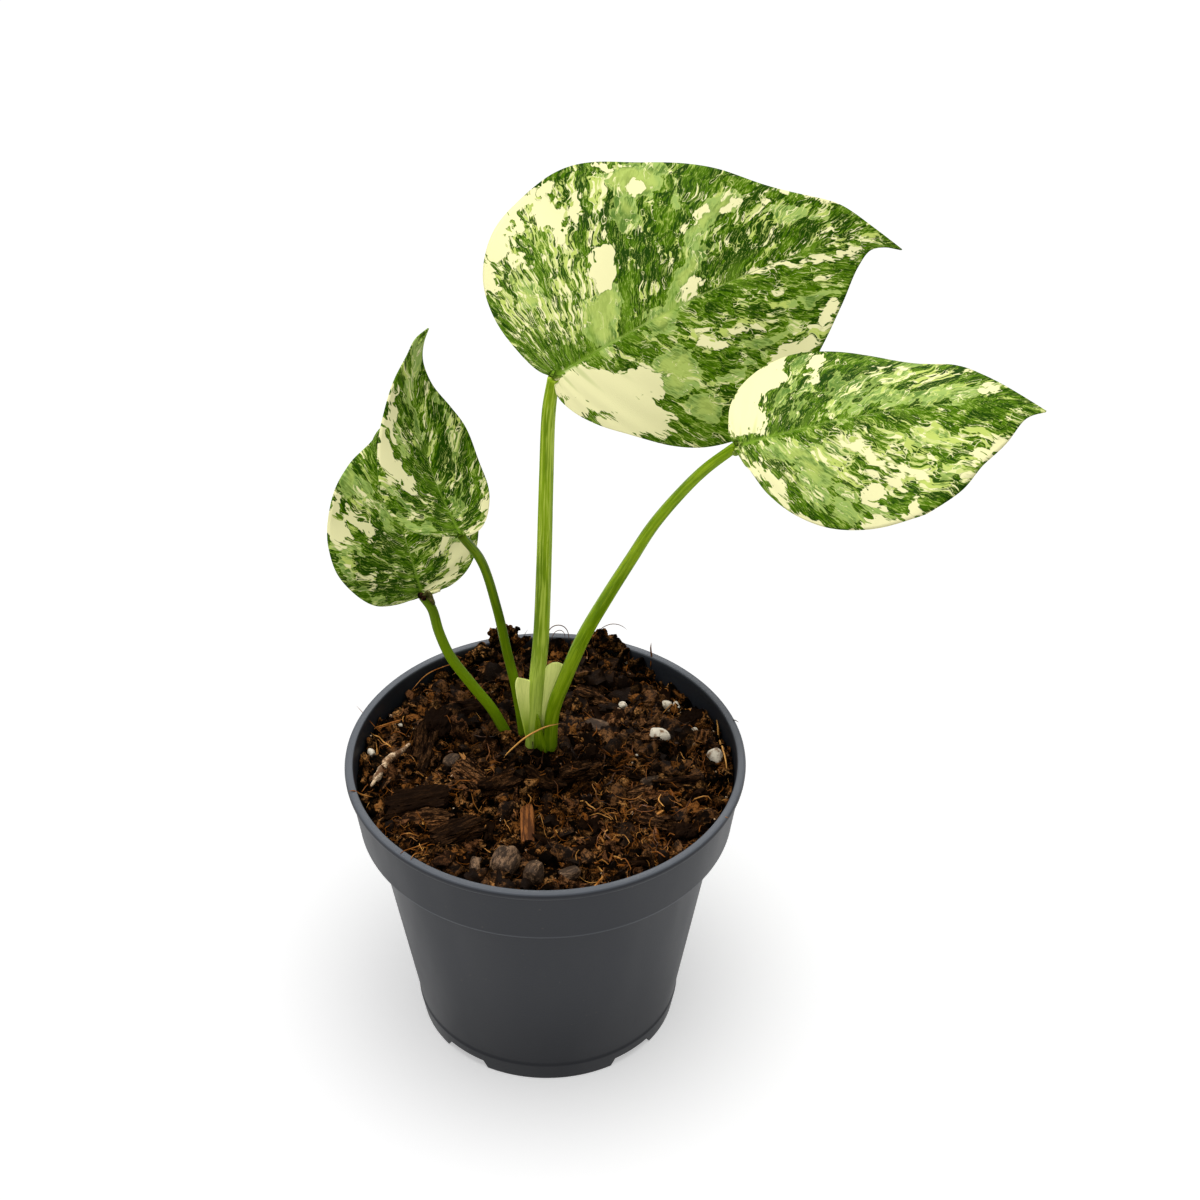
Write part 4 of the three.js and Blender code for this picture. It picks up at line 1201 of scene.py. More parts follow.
        Strand(((-7, 55, 96), (-6.2, 55.6, 98.6), (-4.6, 55.9, 101.2)), 0.09, 0.2),
        Strand(((33, 46, 92.4), (33.4, 47.4, 96.5), (33.1, 47.8, 99), (33.3, 48, 101.4)), 0.3, 0.3),
        Strand(((56.4, 17, 95.4), (57.6, 15.8, 96.7), (58.8, 14.4, 96.8)), 0.16, 0.2),
        Strand(((51.2, -24, 93), (52.4, -27.6, 96.4), (53.6, -28.6, 96.8)), 0.18, 0.6))
    covered: list[Triple] = field(init=False)
    draw: random.Random = field(init=False)
    ground: BVHTree = field(init=False)

    def __post_init__(self) -> None:
        """Seeds the draw and lists where nothing is strewn."""
        self.draw = random.Random(self.seed)
        self.covered = [*self.clearings, *self.perlite]
        for x, y, length, width, _, turn, *_ in self.bark + self.blocks + self.slats:
            for shift in (-0.3 * length, 0, 0.3 * length):
                angle = math.radians(turn)
                self.covered.append((x + shift * math.cos(angle), y + shift * math.sin(angle), 0.42 * width))

    def base_height(self, x: float, y: float) -> float:
        """The bed's height without its lumps.

        Args:
            x: Place to the right.
            y: Place to the back.

        Returns:
            The height in millimetres.
        """
        height = self.edge_z
        deeper = tuple((a, b, reach, -depth) for a, b, reach, depth in self.hollows)
        for a, b, reach, rise in self.rises + deeper:
            away = math.hypot(x - a, y - b) / reach
            height += rise * (1 + math.cos(math.pi * away)) / 2 if away < 1 else 0
        for rise, along_x, along_y, phase in self.waves:
            height += rise * math.sin(along_x * x + along_y * y + phase)
        return height

    def shade_lightness(self, x: float, y: float) -> float:
        """How light the soil is painted at a place, from 0.25 in the middle of a painted shade spot to 1."""
        near = min(math.hypot(x - a, y - b) / reach for a, b, reach in self.shade_spots)
        return 0.25 + 0.75 * min(1, near) ** 2

    def relief(self, x: float, y: float) -> float:
        """Lumps with cracks between them.

        Args:
            x: Place to the right.
            y: Place to the back.

        Returns:
            The lumps' height in millimetres.
        """
        here = Vector((x, y, 0))
        warp = Vector((rough(here, 6), rough(here + Vector((9, 4, 2)), 6), 0))
        height = 0.0
        for cell, rise in ((8, 2.3), (3.4, 1.2)):
            near = noise.voronoi(here / cell + warp * 0.45)[0]
            height += rise * (min(1, 2.6 * (near[1] - near[0])) - 0.7)
        return height + 0.9 * rough(here, 5) + 0.55 * rough(here, 1.6)

    def bed(self) -> None:
        """Models the bed down to the pot's floor."""
        def disc(across: Array, along: Array) -> Array:
            """Bends the square grid into a level disc.

            Args:
                across: Shares across the grid.
                along: Shares along it.

            Returns:
                A row of x, y and z for each vertex, in metres.
            """
            x, y = 2 * across - 1, 2 * along - 1
            wide, deep = x * np.sqrt(1 - y * y / 2), y * np.sqrt(1 - x * x / 2)
            return np.column_stack([wide, deep, 0 * x]) * self.radius * MM

        bed, _ = laid_grid("soil_bed", self.detail, self.detail, disc)
        places = vertices_of(bed) / MM
        lumps = np.array([self.relief(x, y) for x, y, _ in places])
        places[:, 2] = [self.base_height(x, y) for x, y, _ in places]
        places[:, 2] += lumps - 0.3
        move_vertices(bed, places * MM)
        shade_lightness = np.array([self.shade_lightness(x, y) for x, y, _ in places])
        # Painted shade: the tint falls in the cracks between the lumps, and in the painted shade spots.
        note(bed, "tint", np.clip(0.34 + 0.3 * lumps, 0, 1) * shade_lightness)
        with editing(bed):
            bpy.ops.mesh.select_mode(type="EDGE")
            bpy.ops.mesh.select_all(action="DESELECT")
            bpy.ops.mesh.select_non_manifold(extend=False)
            before = 1.0
            for share, height in self.rings:
                bpy.ops.mesh.extrude_edges_move()
                bpy.ops.transform.resize(value=(share / before, share / before, 0),
                                         center_override=(0, 0, height * MM))
                before = share
            bpy.ops.mesh.edge_face_add()
            bpy.ops.mesh.select_all(action="SELECT")
            bpy.ops.mesh.normals_make_consistent(inside=False)
        self.ground = BVHTree.FromObject(bed, bpy.context.evaluated_depsgraph_get())
        finish_piece(bed, [self.finishes["soil"]], ["soil"])

    def surface(self, x: float, y: float) -> tuple[Vector, Vector]:
        """Finds the bed under a place.

        Args:
            x: Place to the right.
            y: Place to the back.

        Returns:
            The point in metres, and the bed's normal there.
        """
        found, normal, _, _ = self.ground.ray_cast(Vector((x, y, 2 * self.edge_z)) * MM, Vector((0, 0, -1)))
        if found is None:
            return Vector((x, y, self.edge_z)) * MM, UP
        return found, normal

    def leaning(self, normal: Vector, upright: float) -> Matrix:
        """How a bit leans on the bed: the more upright, the less it follows the bed's normal."""
        return UP.rotation_difference((normal + UP * upright).normalized()).to_matrix().to_4x4()

    def spot(self, margin: float, zones: Sequence[tuple[float, float, float, float]] = ()) -> Point:
        """Draws a place on the bed, clear of the stem, the larger pieces and the perlite.

        Args:
            margin: Distance to keep from the wall, in millimetres.
            zones: Where more is strewn: centre, spread and share of the draws.

        Returns:
            The place in millimetres.
        """
        while True:
            reach = (self.radius - margin) * math.sqrt(self.draw.random())
            turn = self.draw.uniform(0, 2 * math.pi)
            x, y = reach * math.cos(turn), reach * math.sin(turn)
            chance = self.draw.random()
            for a, b, spread, share in zones:
                if 0 <= chance < share:
                    x, y = self.draw.gauss(a, spread), self.draw.gauss(b, spread)
                chance -= share
            covers = any(math.hypot(x - a, y - b) < reach for a, b, reach in self.covered)
            if math.hypot(x, y) < self.radius - margin and not covers:
                return x, y

    def pattern(self, kind: Bit, number: int) -> Piece:
        """Models one bit, a unit long, to be copied.

        Args:
            kind: What it is.
            number: Which of its shapes, which seeds its roughness.

        Returns:
            The bit, centred on the origin.
        """
        if kind is Bit.CURL:
            return self.curl(number)
        cuts, roundness, roughness = kind.value
        deselect()
        bpy.ops.mesh.primitive_cube_add(size=1)
        bit = bpy.context.object
        with editing(bit):
            bpy.ops.mesh.select_all(action="SELECT")
            bpy.ops.mesh.subdivide(number_cuts=cuts)
            bpy.ops.transform.tosphere(value=roundness)
        roughen(bit, number, roughness)
        if kind in (Bit.CRUMB, Bit.NUGGET, Bit.BLOCK, Bit.SLAT):
            return bit
        places = vertices_of(bit)
        ragged = np.array([noise.noise(Vector((y * 6, z * 6, number))) for _, y, z in places])
        places[:, 0] *= 1 + 0.6 * ragged * np.abs(places[:, 0]) * 2
        places[:, 2] += 0.5 * (places[:, 0] ** 2) * (1 if number % 2 else -1)
        move_vertices(bit, places)
        return bit

    def curl(self, number: int) -> Piece:
        """Models one curled fibre, a unit long.

        Args:
            number: Which of its shapes.

        Returns:
            The fibre along X.
        """
        draw = random.Random(number)
        heading, turn = draw.uniform(-0.6, 0.6), draw.gauss(0, 0.3)
        points = [Vector((-0.5, 0, 0))]
        for step in range(8):
            heading += turn + draw.gauss(0, 0.42)
            up = 0.2 * math.sin(math.pi * step / 7) * draw.random()
            ahead = Vector((math.cos(heading), math.sin(heading), 0)) * 0.13
            points.append(Vector((*(points[-1] + ahead).xy, up)))
        return self.thread_mesh("curl", [(points, 0.01 + 0.012 * draw.random(), 0.5)], 1, 0)

    def weather(self, bit: Piece, number: int) -> None:
        """Roughens a larger bit with its grain.

        Args:
            bit: The bit, a unit long.
            number: Seeds the roughness.
        """
        places = vertices_of(bit)
        for row, (x, y, z) in enumerate(places):
            grain = 1 - abs(noise.fractal(Vector((x * 2.2, y * 9, z * 7 + number * 5)), 0.7, 2.1, 4))
            lump = noise.noise(Vector((x * 3, y * 3, z * 3 + number)))
            places[row] *= 0.9 + 0.3 * (grain - 0.6) + 0.3 * lump
        move_vertices(bit, places)

    def strew(self, what: Strewing) -> None:
        """Strews copies of a few patterns on the bed.

        Args:
            what: What is strewn, how much and how large.
        """
        patterns = [self.pattern(what.kind, number) for number in range(self.patterns)]
        copies = []
        for _ in range(what.count):
            length = self.draw.triangular(*what.lengths)
            width = length * self.draw.uniform(*what.widths)
            size = (length, width, length * self.draw.uniform(*what.heights))
            x, y = self.spot(0.5 * length + 0.4, what.zones)
            found, normal = self.surface(x, y)
            tilts = (self.draw.gauss(0, what.tilt), self.draw.gauss(0, what.tilt))
            turn = Euler((*tilts, self.draw.uniform(0, 6.3))).to_matrix().to_4x4()
            # Bits in the shade spots get a lower tint: painted shade.
            tint = self.draw.triangular(*what.tints) * self.shade_lightness(x, y)
            at = found + UP * (what.lift * MM)
            bit = copy_of(self.draw.choice(patterns))
            copies.append(settle(bit, at, self.leaning(normal, 1.2) @ turn, size, tint))
        for pattern in patterns:
            bpy.data.objects.remove(pattern)
        finish = self.finishes[what.finish]
        finish_piece(joined(what.name, copies), [finish], smooth_angle=50)

    def laid_blocks(self, name: str, kind: Bit, sizes: Sequence[tuple[float, ...]],
                    finish: Material) -> None:
        """Lays larger pieces where they lie in the pot.

        Args:
            name: The joined piece's name.
            kind: What they are: only bark is weathered along its grain.
            sizes: Place across and from front to back, length, width, height, turn and, if given, tint.
            finish: Their material.
        """
        pieces = []
        for number, (x, y, length, width, height, turn, *tint) in enumerate(sizes):
            pattern = self.pattern(kind, number)
            modify(pattern, "SUBSURF", levels=2, render_levels=2)
            if kind is Bit.BARK:
                self.weather(pattern, number)
            note(pattern, "local", vertices_of(pattern) * (length, width, height) + number * 31)
            found, normal = self.surface(x, y)
            turned = self.leaning(normal, 3) @ Matrix.Rotation(math.radians(turn), 4, "Z")
            shade = tint[0] if tint else self.draw.uniform(0.05, 0.45)
            at = found + UP * (0.3 * height * MM)
            pieces.append(settle(pattern, at, turned, (length, width, height), shade))
        finish_piece(joined(name, pieces), [finish], smooth_angle=60)

    def clods(self) -> None:
        """Lays the lumps at the stalks' feet, and against the back wall and up over the lip."""
        pieces = []
        for number, (x, y, z, size) in enumerate(self.lumps):
            pattern = lump(20 + number, levels=2)
            self.weather(pattern, 30 + number)
            turn = Matrix.Rotation(number * 1.9, 4, "Z")
            pieces.append(settle(pattern, Vector((x, y, z)) * MM, turn, (size * 1.15, size * 0.9, size),
                                 self.draw.uniform(0.2, 0.5)))
        finish = self.finishes["crumbs"]
        finish_piece(joined("clods", pieces), [finish], smooth_angle=60)

    def thread_mesh(self, name: str, routes: Sequence[Thread], smoothness: int, sides: int) -> Piece:
        """Makes threads along routes, drawn to a point at both ends.

        Args:
            name: The piece's name.
            routes: Points, a radius and a tint for each thread, in the units of its mesh.
            smoothness: Steps between two points.
            sides: Extra pairs of sides, past four.

        Returns:
            The threads as one mesh, not yet dressed.
        """
        deselect()
        bpy.ops.curve.primitive_nurbs_path_add()
        thread = bpy.context.object
        shape = thread.data
        shape.splines.clear()
        shape.dimensions = "3D"
        shape.bevel_depth = 1
        shape.bevel_resolution = sides
        shape.resolution_u = smoothness
        for points, radius, _ in routes:
            spline = shape.splines.new("NURBS")
            spline.points.add(len(points) - 1)
            spline.use_endpoint_u = True
            spline.order_u = 3
            for number, point in enumerate(points):
                taper = math.sin(math.pi * number / (len(points) - 1)) ** 0.5
                spline.points[number].co = (*point, 1)
                spline.points[number].radius = radius * max(taper, 0.02)
        activate(thread)
        bpy.ops.object.convert(target="MESH")
        made = bpy.context.object
        made.name = made.data.name = name
        note(made, "tint", np.repeat([tint for _, _, tint in routes], self.lengths_of_threads(made)))
        close_seams(made, 0.2 * min(radius for _, radius, _ in routes))
        return made

    def draped(self, strand: Strand) -> list[Vector]:
        """Lays a strand's line on the bed, or takes its own heights.

        Args:
            strand: The strand.

        Returns:
            Its points in metres.
        """
        route = Route(strand.points)
        shares = np.linspace(0, 1, max(6, int(route.length / self.stray_step)))
        line = route.evenly(shares)
        if line.shape[1] == 3:
            return [Vector(point) * MM for point in line]
        points = []
        for share, (x, y) in zip(shares, line):
            found, _ = self.surface(x, y)
            arch = strand.lift * math.sin(math.pi * share) + 0.6 * strand.radius
            points.append(found + UP * (arch * MM))
        return points

    def fibres(self) -> None:
        """Lays the long fibres: those listed, and strayed ones that follow the bed."""
        routes = [(self.draped(strand), strand.radius * MM, strand.tint) for strand in self.strands]
        for _ in range(self.strays):
            x, y = self.spot(3, self.stray_zones)
            heading = self.draw.uniform(0, 2 * math.pi)
            bend = self.draw.gauss(0, 0.12)
            line = [(x, y)]
            for _ in range(self.draw.randint(5, 13)):
                heading += bend + self.draw.gauss(0, 0.22)
                x, y = x + self.stray_step * math.cos(heading), y + self.stray_step * math.sin(heading)
                if math.hypot(x, y) > self.radius - 0.8:
                    break
                line.append((x, y))
            if len(line) < 4:
                continue
            radius, tint = self.draw.uniform(*self.stray_radii), self.draw.triangular(0, 1, 0.35)
            strand = Strand(tuple(line), radius, tint, self.draw.uniform(*self.stray_lifts))
            routes.append((self.draped(strand), radius * MM, tint))
        fibres = self.thread_mesh("long_fibres", routes, 2, 1)
        finish_piece(fibres, [self.finishes["coir"]])

    def lengths_of_threads(self, threads: Piece) -> list[int]:
        """Counts each thread's vertices, which lie one thread after another.

        Args:
            threads: Threads in one mesh.

        Returns:
            One count for each thread.
        """
        pairs = np.array([edge.vertices[:] for edge in threads.data.edges])
        spanned = np.zeros(len(threads.data.vertices) + 1, dtype=int)
        np.add.at(spanned, pairs.min(axis=1), 1)
        np.add.at(spanned, pairs.max(axis=1), -1)
        ends = np.flatnonzero(np.cumsum(spanned)[:-1] == 0) + 1
        return np.diff(np.concatenate([[0], ends])).tolist()

    def grains(self) -> None:
        """Lays the perlite grains."""
        pieces = []
        for number, (x, y, radius) in enumerate(self.perlite):
            at = self.surface(x, y)[0] + UP * ((0.45 * radius + 0.8) * MM)
            turn = Matrix.Rotation(number * 1.1, 4, "Z")
            size = (2.4 * radius, 2 * radius, 2 * radius)
            pieces.append(settle(lump(40 + number, 0.5), at, turn, size, 0.5))
        finish_piece(joined("perlite_grains", pieces), [self.finishes["perlite"]])

    def dry_root(self) -> None:
        """Lays the pale knobbly root near the left wall."""
        line, girth = Route(self.root_line), Route(self.root_girth)

        def place(across: Array, along: Array) -> Array:
            """Wraps the grid round the root's line.

            Args:
                across: Shares round the root.
                along: Shares along it.

            Returns:
                A row of x, y and z for each vertex, in metres.
            """
            centre = line.evenly(along)
            ahead = line.evenly(np.minimum(along + 0.01, 1)) - line.evenly(np.maximum(along - 0.01, 0))
            ahead /= np.linalg.norm(ahead, axis=1)[:, None]
            shares, radii = girth.at(np.linspace(0, 1, 90)).T
            radius = np.interp(along, shares, radii) * (1 + 0.08 * np.sin(40 * along))
            turn = 2 * math.pi * across
            side = radius * np.cos(turn)
            x, y = centre[:, 0] - ahead[:, 1] * side, centre[:, 1] + ahead[:, 0] * side
            z = self.root_z + self.root_rise * along + radius * np.sin(turn)
            return np.column_stack([x, y, z]) * MM

        root, _ = laid_grid("dry_root", 14, 48, place)
        close_seams(root)
        note(root, "tint", 0.6)
        finish_piece(root, [self.finishes["dry_root"]])

    def build(self) -> None:
        """Models the bed and everything on it."""
        self.bed()
        for name, kind, sizes, finish in (("large_bark", Bit.BARK, self.bark, "bark"),
                                          ("smooth_blocks", Bit.BLOCK, self.blocks, "block"),
                                          ("slats", Bit.SLAT, self.slats, "slat")):
            self.laid_blocks(name, kind, sizes, self.finishes[finish])
        self.clods()
        for what in self.strewings:
            self.strew(what)
        self.fibres()
        self.dry_root()
        self.grains()


# Crown, stalks and leaves.

@dataclass
class Crown:
    """The short stem that the stalks grow from, oval in plan and scarred on top."""

    finish: Material
    centre: Point = (-4.6, 12.4)
    length: float = 24
    width: float = 14
    top_z: float = 93
    bottom_z: float = 71
    turn: float = 142
    sides: int = 48
    rings: Rows = ((0.5, 0), (0.86, 0.25), (1, 0.6), (1, 0.9), (0.95, 0.97), (0.8, 1))

    def build(self) -> None:
        """Models and dresses the crown."""
        height = self.top_z - self.bottom_z
        (before, low), *rings = self.rings
        deselect()
        bpy.ops.mesh.primitive_circle_add(vertices=self.sides, radius=before, fill_type="NGON")
        crown = bpy.context.object
        crown.name = crown.data.name = "crown_stem"
        with editing(crown):
            bpy.ops.mesh.select_all(action="SELECT")
            for radius, high in rings:
                bpy.ops.mesh.extrude_region_move(TRANSFORM_OT_translate={"value": (0, 0, high - low)})
                share = radius / before
                bpy.ops.transform.resize(value=(share, share, 1), center_override=(0, 0, 0))
                before, low = radius, high
            bpy.ops.mesh.inset(thickness=0.2)
            bpy.ops.mesh.inset(thickness=0.25)
            bpy.ops.mesh.select_all(action="SELECT")
            bpy.ops.mesh.normals_make_consistent(inside=False)
        modify(crown, "SUBSURF", levels=2, render_levels=2)
        places = vertices_of(crown) * (self.length / 2, self.width / 2, height)
        for row, (x, y, z) in enumerate(places):
            bumps = rough(Vector((x, y, z + 5)), 3.2, 4)
            places[row] += np.array((x * 0.05, y * 0.07, 0.75 if z > 0.8 * height else 0)) * bumps
        move_vertices(crown, places * MM)
        crown.data.transform(Matrix.Translation(Vector((*self.centre, self.bottom_z)) * MM)
                             @ Matrix.Rotation(math.radians(self.turn), 4, "Z"))
        note(crown, "tint", 0.5)
        finish_piece(crown, [self.finish], ["crown"])


@dataclass
class Stalk:
    """A leaf's stalk: a tapering tube with soft ribs, from the crown up into its blade."""

    name: str
    path: Rows
    radii: tuple[float, ...]
    finish: Material
    sides: int = 32
    steps: int = 130
    rib_count: int = 7
    rib_depth: float = 0.035
    foot_z: float = 92.5

    def build(self) -> Piece:
        """Models and dresses the stalk.

        Returns:
            The stalk.
        """
        route = Route(self.path)

        def place(across: Array, along: Array) -> Array:
            """Wraps the grid round the stalk's line.

            Args:
                across: Shares round the stalk.
                along: Shares up it.

            Returns:
                A row of x, y and z for each vertex, in metres.
            """
            centre = route.at(along)
            step = 1e-3
            ahead = route.at(np.minimum(along + step, 1)) - route.at(np.maximum(along - step, 0))
            ahead /= np.linalg.norm(ahead, axis=1)[:, None]
            right = np.array([1.0, 0, 0]) - ahead * ahead[:, :1]
            right /= np.linalg.norm(right, axis=1)[:, None]
            back = np.cross(ahead, right)
            radius = np.interp(along, np.linspace(0, 1, len(self.radii)), self.radii)
            turn = 2 * math.pi * across
            radius = radius * (1 + self.rib_depth * np.cos(self.rib_count * turn + 2 * along))
            out = right * np.cos(turn)[:, None] + back * np.sin(turn)[:, None]
            return (centre + out * radius[:, None]) * MM

        stalk, shares = laid_grid(f"stalk_{self.name}_skin", self.sides, self.steps, place)
        around = shares[:, 0] * 2 * math.pi * max(self.radii)
        note(stalk, "skin", np.column_stack([around, shares[:, 1] * route.length, shares[:, 0] * 0]))
        high = vertices_of(stalk)[:, 2] / MM
        note(stalk, "foot", np.clip((self.foot_z + 12 - high) / 14, 0, 1))
        close_seams(stalk)
        return finish_piece(stalk, [self.finish], [f"stalk_{self.name}"])


@dataclass
class Nub:
    """The withered sheath at the top of the back left stalk: dark lumps on its sides.

    Each is a place, three sizes and a lean in radians.
    """

    dark: Material
    dry: Material
    lumps: Rows = ((-35.4, 12.7, 148.2, 2.4, 1.9, 2.2, 0.2),)
    husks: Rows = ((-33.1, 13.1, 147.6, 2.1, 2, 4.6, 0.32), (-34.3, 12.8, 149, 2, 1.6, 1.6, 0.2))

    def build(self) -> None:
        """Models and dresses the lumps."""
        for name, bits, finish in (("nub_dark", self.lumps, self.dark), ("nub_husk", self.husks, self.dry)):
            pieces = []
            for number, (x, y, z, *size, lean) in enumerate(bits):
                turn = Matrix.Rotation(-lean, 4, "Y")
                pieces.append(settle(lump(60 + number), Vector((x, y, z)) * MM, turn, size, 0.4))
            finish_piece(joined(name, pieces), [finish])


class Tone(Enum):
    """Tones of a leaf's larger markings."""

    CREAM = "cream"
    GREY = "grey"
    DEEP = "deep"
    MOTTLED = "fleck"


@dataclass(frozen=True)
class Patch:
    """One larger marking: an oval in the blade's plane, in millimetres, turned by degrees."""

    u: float
    v: float
    along: float
    across: float
    turn: float = 0

    def depth(self, u: Array, v: Array) -> Array:
        """How deep points lie inside the oval.

        Args:
            u: Places towards the tip.
            v: Places to the left.

        Returns:
            Depths in millimetres, negative outside.
        """
        angle = math.radians(self.turn)
        x = (u - self.u) * math.cos(angle) + (v - self.v) * math.sin(angle)
        y = (v - self.v) * math.cos(angle) - (u - self.u) * math.sin(angle)
        return (1 - np.hypot(x / self.along, y / self.across)) * min(self.along, self.across)


@dataclass
class Blade:
    """A leaf's blade, laid out vein by vein from its midrib to its margin.

    In its plane u runs to the tip and v to the left. Each margin is a row of points in u and v. Slopes
    and bends say how its left and its right half fold. Patches are ovals, sorted by tone, and points far
    from them all count as far_outside. The halves' patterns are read halves_apart from each other.
    """

    name: str
    junction: Triple
    heading: float
    climb: float
    roll: float
    length: float
    half_width: float
    arch: float
    tip_drop: float
    bow: float
    hook: float
    slopes: Point
    bends: Point
    wave: float
    wave_count: float
    wave_phase: float
    left: Rows
    right: Rows
    patches: dict[Tone, Rows]
    flecks: float
    finishes: Materials
    rows: int = 170
    columns: int = 92
    crowding: float = 2.6
    sweep: float = 0.22
    side_veins: int = 9
    quilt: float = 0.3
    thin: float = 0.5
    thick: float = 2.6
    rib_width: float = 1.1
    raggedness: float = 3.2
    most_flecks: float = 0.85
    far_outside: float = -8.0
    halves_apart: float = 300.0

    def midrib(self, u: Array) -> Array:
        """How far the midrib bows to the left.

        Args:
            u: Places towards the tip.

        Returns:
            Places to the left, in millimetres.
        """
        share = np.clip(u / self.length, 0, 1)
        bowed = self.bow * np.sin(math.pi / 2 * np.clip(share / 0.75, 0, 1))
        return bowed + self.hook * np.clip((share - 0.85) / 0.15, 0, 1) ** 2

    def height(self, u: Array, v: Array) -> Array:
        """The upper face's height above the blade's plane, the same as the solid's.

        Args:
            u: Places towards the tip.
            v: Places to the left.

        Returns:
            Heights in millimetres.
        """
        share = u / self.length
        held = np.clip(share, -0.25, 1.05)
        arched = self.arch * 4 * held * (1 - held)
        dropped = self.tip_drop * np.clip((share - 0.72) / 0.28, 0, 1.2) ** 2
        side = v - self.midrib(u)
        away = np.hypot(side, 1.5) - 1.5
        half = np.where(side > 0, 0, 1)
        fade = np.clip((1.05 - share) / 0.5, 0, 1)
        folded = np.array(self.slopes)[half] * away + np.array(self.bends)[half] * away**2 / self.half_width
        turn = 2 * math.pi * (self.wave_count * share + self.wave_phase + 0.25 * np.sign(side))
        reach = self.half_width * np.minimum(1, 1.35 * np.clip(1 - share, 0.02, 1) ** 0.7)
        edge = np.clip(np.abs(side) / reach, 0, 1.1) ** 2
        waved = self.wave * np.sin(turn) * edge * np.clip((1 - share) * 4, 0, 1)
        return arched - dropped + fade * folded + waved

    def axes(self) -> tuple[Array, Array, Array]:
        """The directions towards the tip, to the left and up from the face.

        Returns:
            Three unit vectors.
        """
        yaw, pitch = math.radians(self.heading), math.radians(self.climb)
        ahead = Vector((math.cos(pitch) * math.cos(yaw), math.cos(pitch) * math.sin(yaw), math.sin(pitch)))
        level = Vector((-math.sin(yaw), math.cos(yaw), 0))
        across = Matrix.Rotation(math.radians(self.roll), 3, ahead) @ level
        return np.array(ahead), np.array(across), np.array(ahead.cross(across))

    def lay(self, across: Array, along: Array) -> tuple[Array, ...]:
        """Finds the places of the grid's points in the blade's plane.

        Args:
            across: Shares from the left margin to the right one.
            along: Shares from the stalk to the tip.

        Returns:
            Places towards the tip and to the left, shares from the midrib to the margin, and
            the margin's run and the vein's length in millimetres.
        """
        side = 1 - 2 * across
        away = np.abs(side) ** 1.25
        rib = self.length * along**self.crowding
        start = np.column_stack([rib, self.midrib(rib)])
        tip = (self.length, float(self.midrib(np.array([self.length]))[0]))
        ends, runs = np.empty_like(start), np.empty(len(rib))
        for chosen, outline in ((side >= 0, self.left), (side < 0, self.right)):
            margin = Route(((0, 0), *outline, tip))
            ends[chosen] = margin.evenly(along[chosen])
            runs[chosen] = along[chosen] * margin.length
        middle = (start + ends) / 2
        middle[:, 0] -= self.sweep * np.maximum(0, ends[:, 0] - start[:, 0])
        share = away[:, None]
        points = start * (1 - share) ** 2 + middle * 2 * share * (1 - share) + ends * share**2
        vein = np.linalg.norm(ends - start, axis=1)
        return points[:, 0], points[:, 1], away, runs, vein

    def build(self) -> None:
        """Models, marks and dresses the blade."""
        ahead, left, up = self.axes()

        def place(across: Array, along: Array) -> Array:
            """Lays the grid out over the blade's upper face.

            Args:
                across: Shares from the left margin to the right one.
                along: Shares from the stalk to the tip.

            Returns:
                A row of x, y and z for each vertex, in metres.
            """
            u, v, away, _, _ = self.lay(across, along)
            side = np.abs(v - self.midrib(u))
            soft = np.clip(4 * away * (1 - away), 0, 1)
            quilt = self.quilt * (0.5 - 0.5 * np.cos(2 * math.pi * self.side_veins * along)) * soft
            groove = 0.4 * np.exp(-(side / 0.8) ** 2) * np.clip(1.1 - along, 0, 1)
            lift = self.height(u, v) + (quilt - groove) * np.clip((1 - along) * 5, 0, 1)
            places = np.array(self.junction) + np.outer(u, ahead) + np.outer(v, left) + np.outer(lift, up)
            return places * MM

        blade, shares = laid_grid(f"blade_{self.name}_leaf", self.columns, self.rows, place)
        u, v, away, runs, vein = self.lay(shares[:, 0], shares[:, 1])
        half = np.where(shares[:, 0] < 0.5, 0.0, self.halves_apart)
        note(blade, "vein", np.column_stack([runs + half, away * vein, half]))
        note(blade, "flat", np.column_stack([u, v, u * 0]))
        near_u, near_v = (
            start + self.raggedness * np.array([rough(Vector((a, b, layer)), 9, 4) for a, b in zip(u, v)])
            for start, layer in ((u, 0), (v, 50)))
        for tone in Tone:
            deepest = np.full(len(u), self.far_outside)
            for oval in self.patches[tone]:
                deepest = np.maximum(deepest, Patch(*oval).depth(near_u, near_v))
            if tone is Tone.MOTTLED:
                deepest = self.flecks + (self.most_flecks - self.flecks) * np.clip(deepest / 3, 0, 1)
            note(blade, tone.value, deepest)
        side = np.abs(v - self.midrib(u))
        note(blade, "rib", np.exp(-(side / self.rib_width) ** 2) * np.clip(1.15 - shares[:, 1], 0, 1))
        note(blade, "side_vein", (0.5 + 0.5 * np.cos(2 * math.pi * self.side_veins * shares[:, 1]))
             * np.clip(1.1 - away, 0, 1))
        self.thicken(blade, side, shares[:, 1])
        faces = [self.finishes["leaf_upper"], self.finishes["leaf_under"]]
        finish_piece(blade, faces, [f"blade_{self.name}"])

    def thicken(self, blade: Piece, side: Array, along: Array) -> None:
        """Gives the blade its thickness, which swells into the rib below its midrib.

        Args:
            blade: The laid-out upper face.
            side: Each vertex's distance from the midrib, in millimetres.
            along: Each vertex's share of the way to the tip.
        """
        least = self.thin / self.thick
        swelling = np.exp(-(side / self.rib_width) ** 2) * np.clip(1.02 - along, 0, 1) ** 0.8
        group = blade.vertex_groups.new(name="thickness")
        for number, value in enumerate(least + (1 - least) * swelling):
            group.add([number], float(value), "REPLACE")
        with editing(blade):
            bpy.ops.mesh.select_all(action="SELECT")
            bpy.ops.mesh.remove_doubles(threshold=2e-6)
        if blade.data.polygons[len(blade.data.polygons) // 2].normal.z < 0:
            blade.data.flip_normals()
        modify(blade, "SOLIDIFY", thickness=self.thick * MM, offset=-1, vertex_group="thickness",
               material_offset=1, material_offset_rim=0, use_even_offset=False)


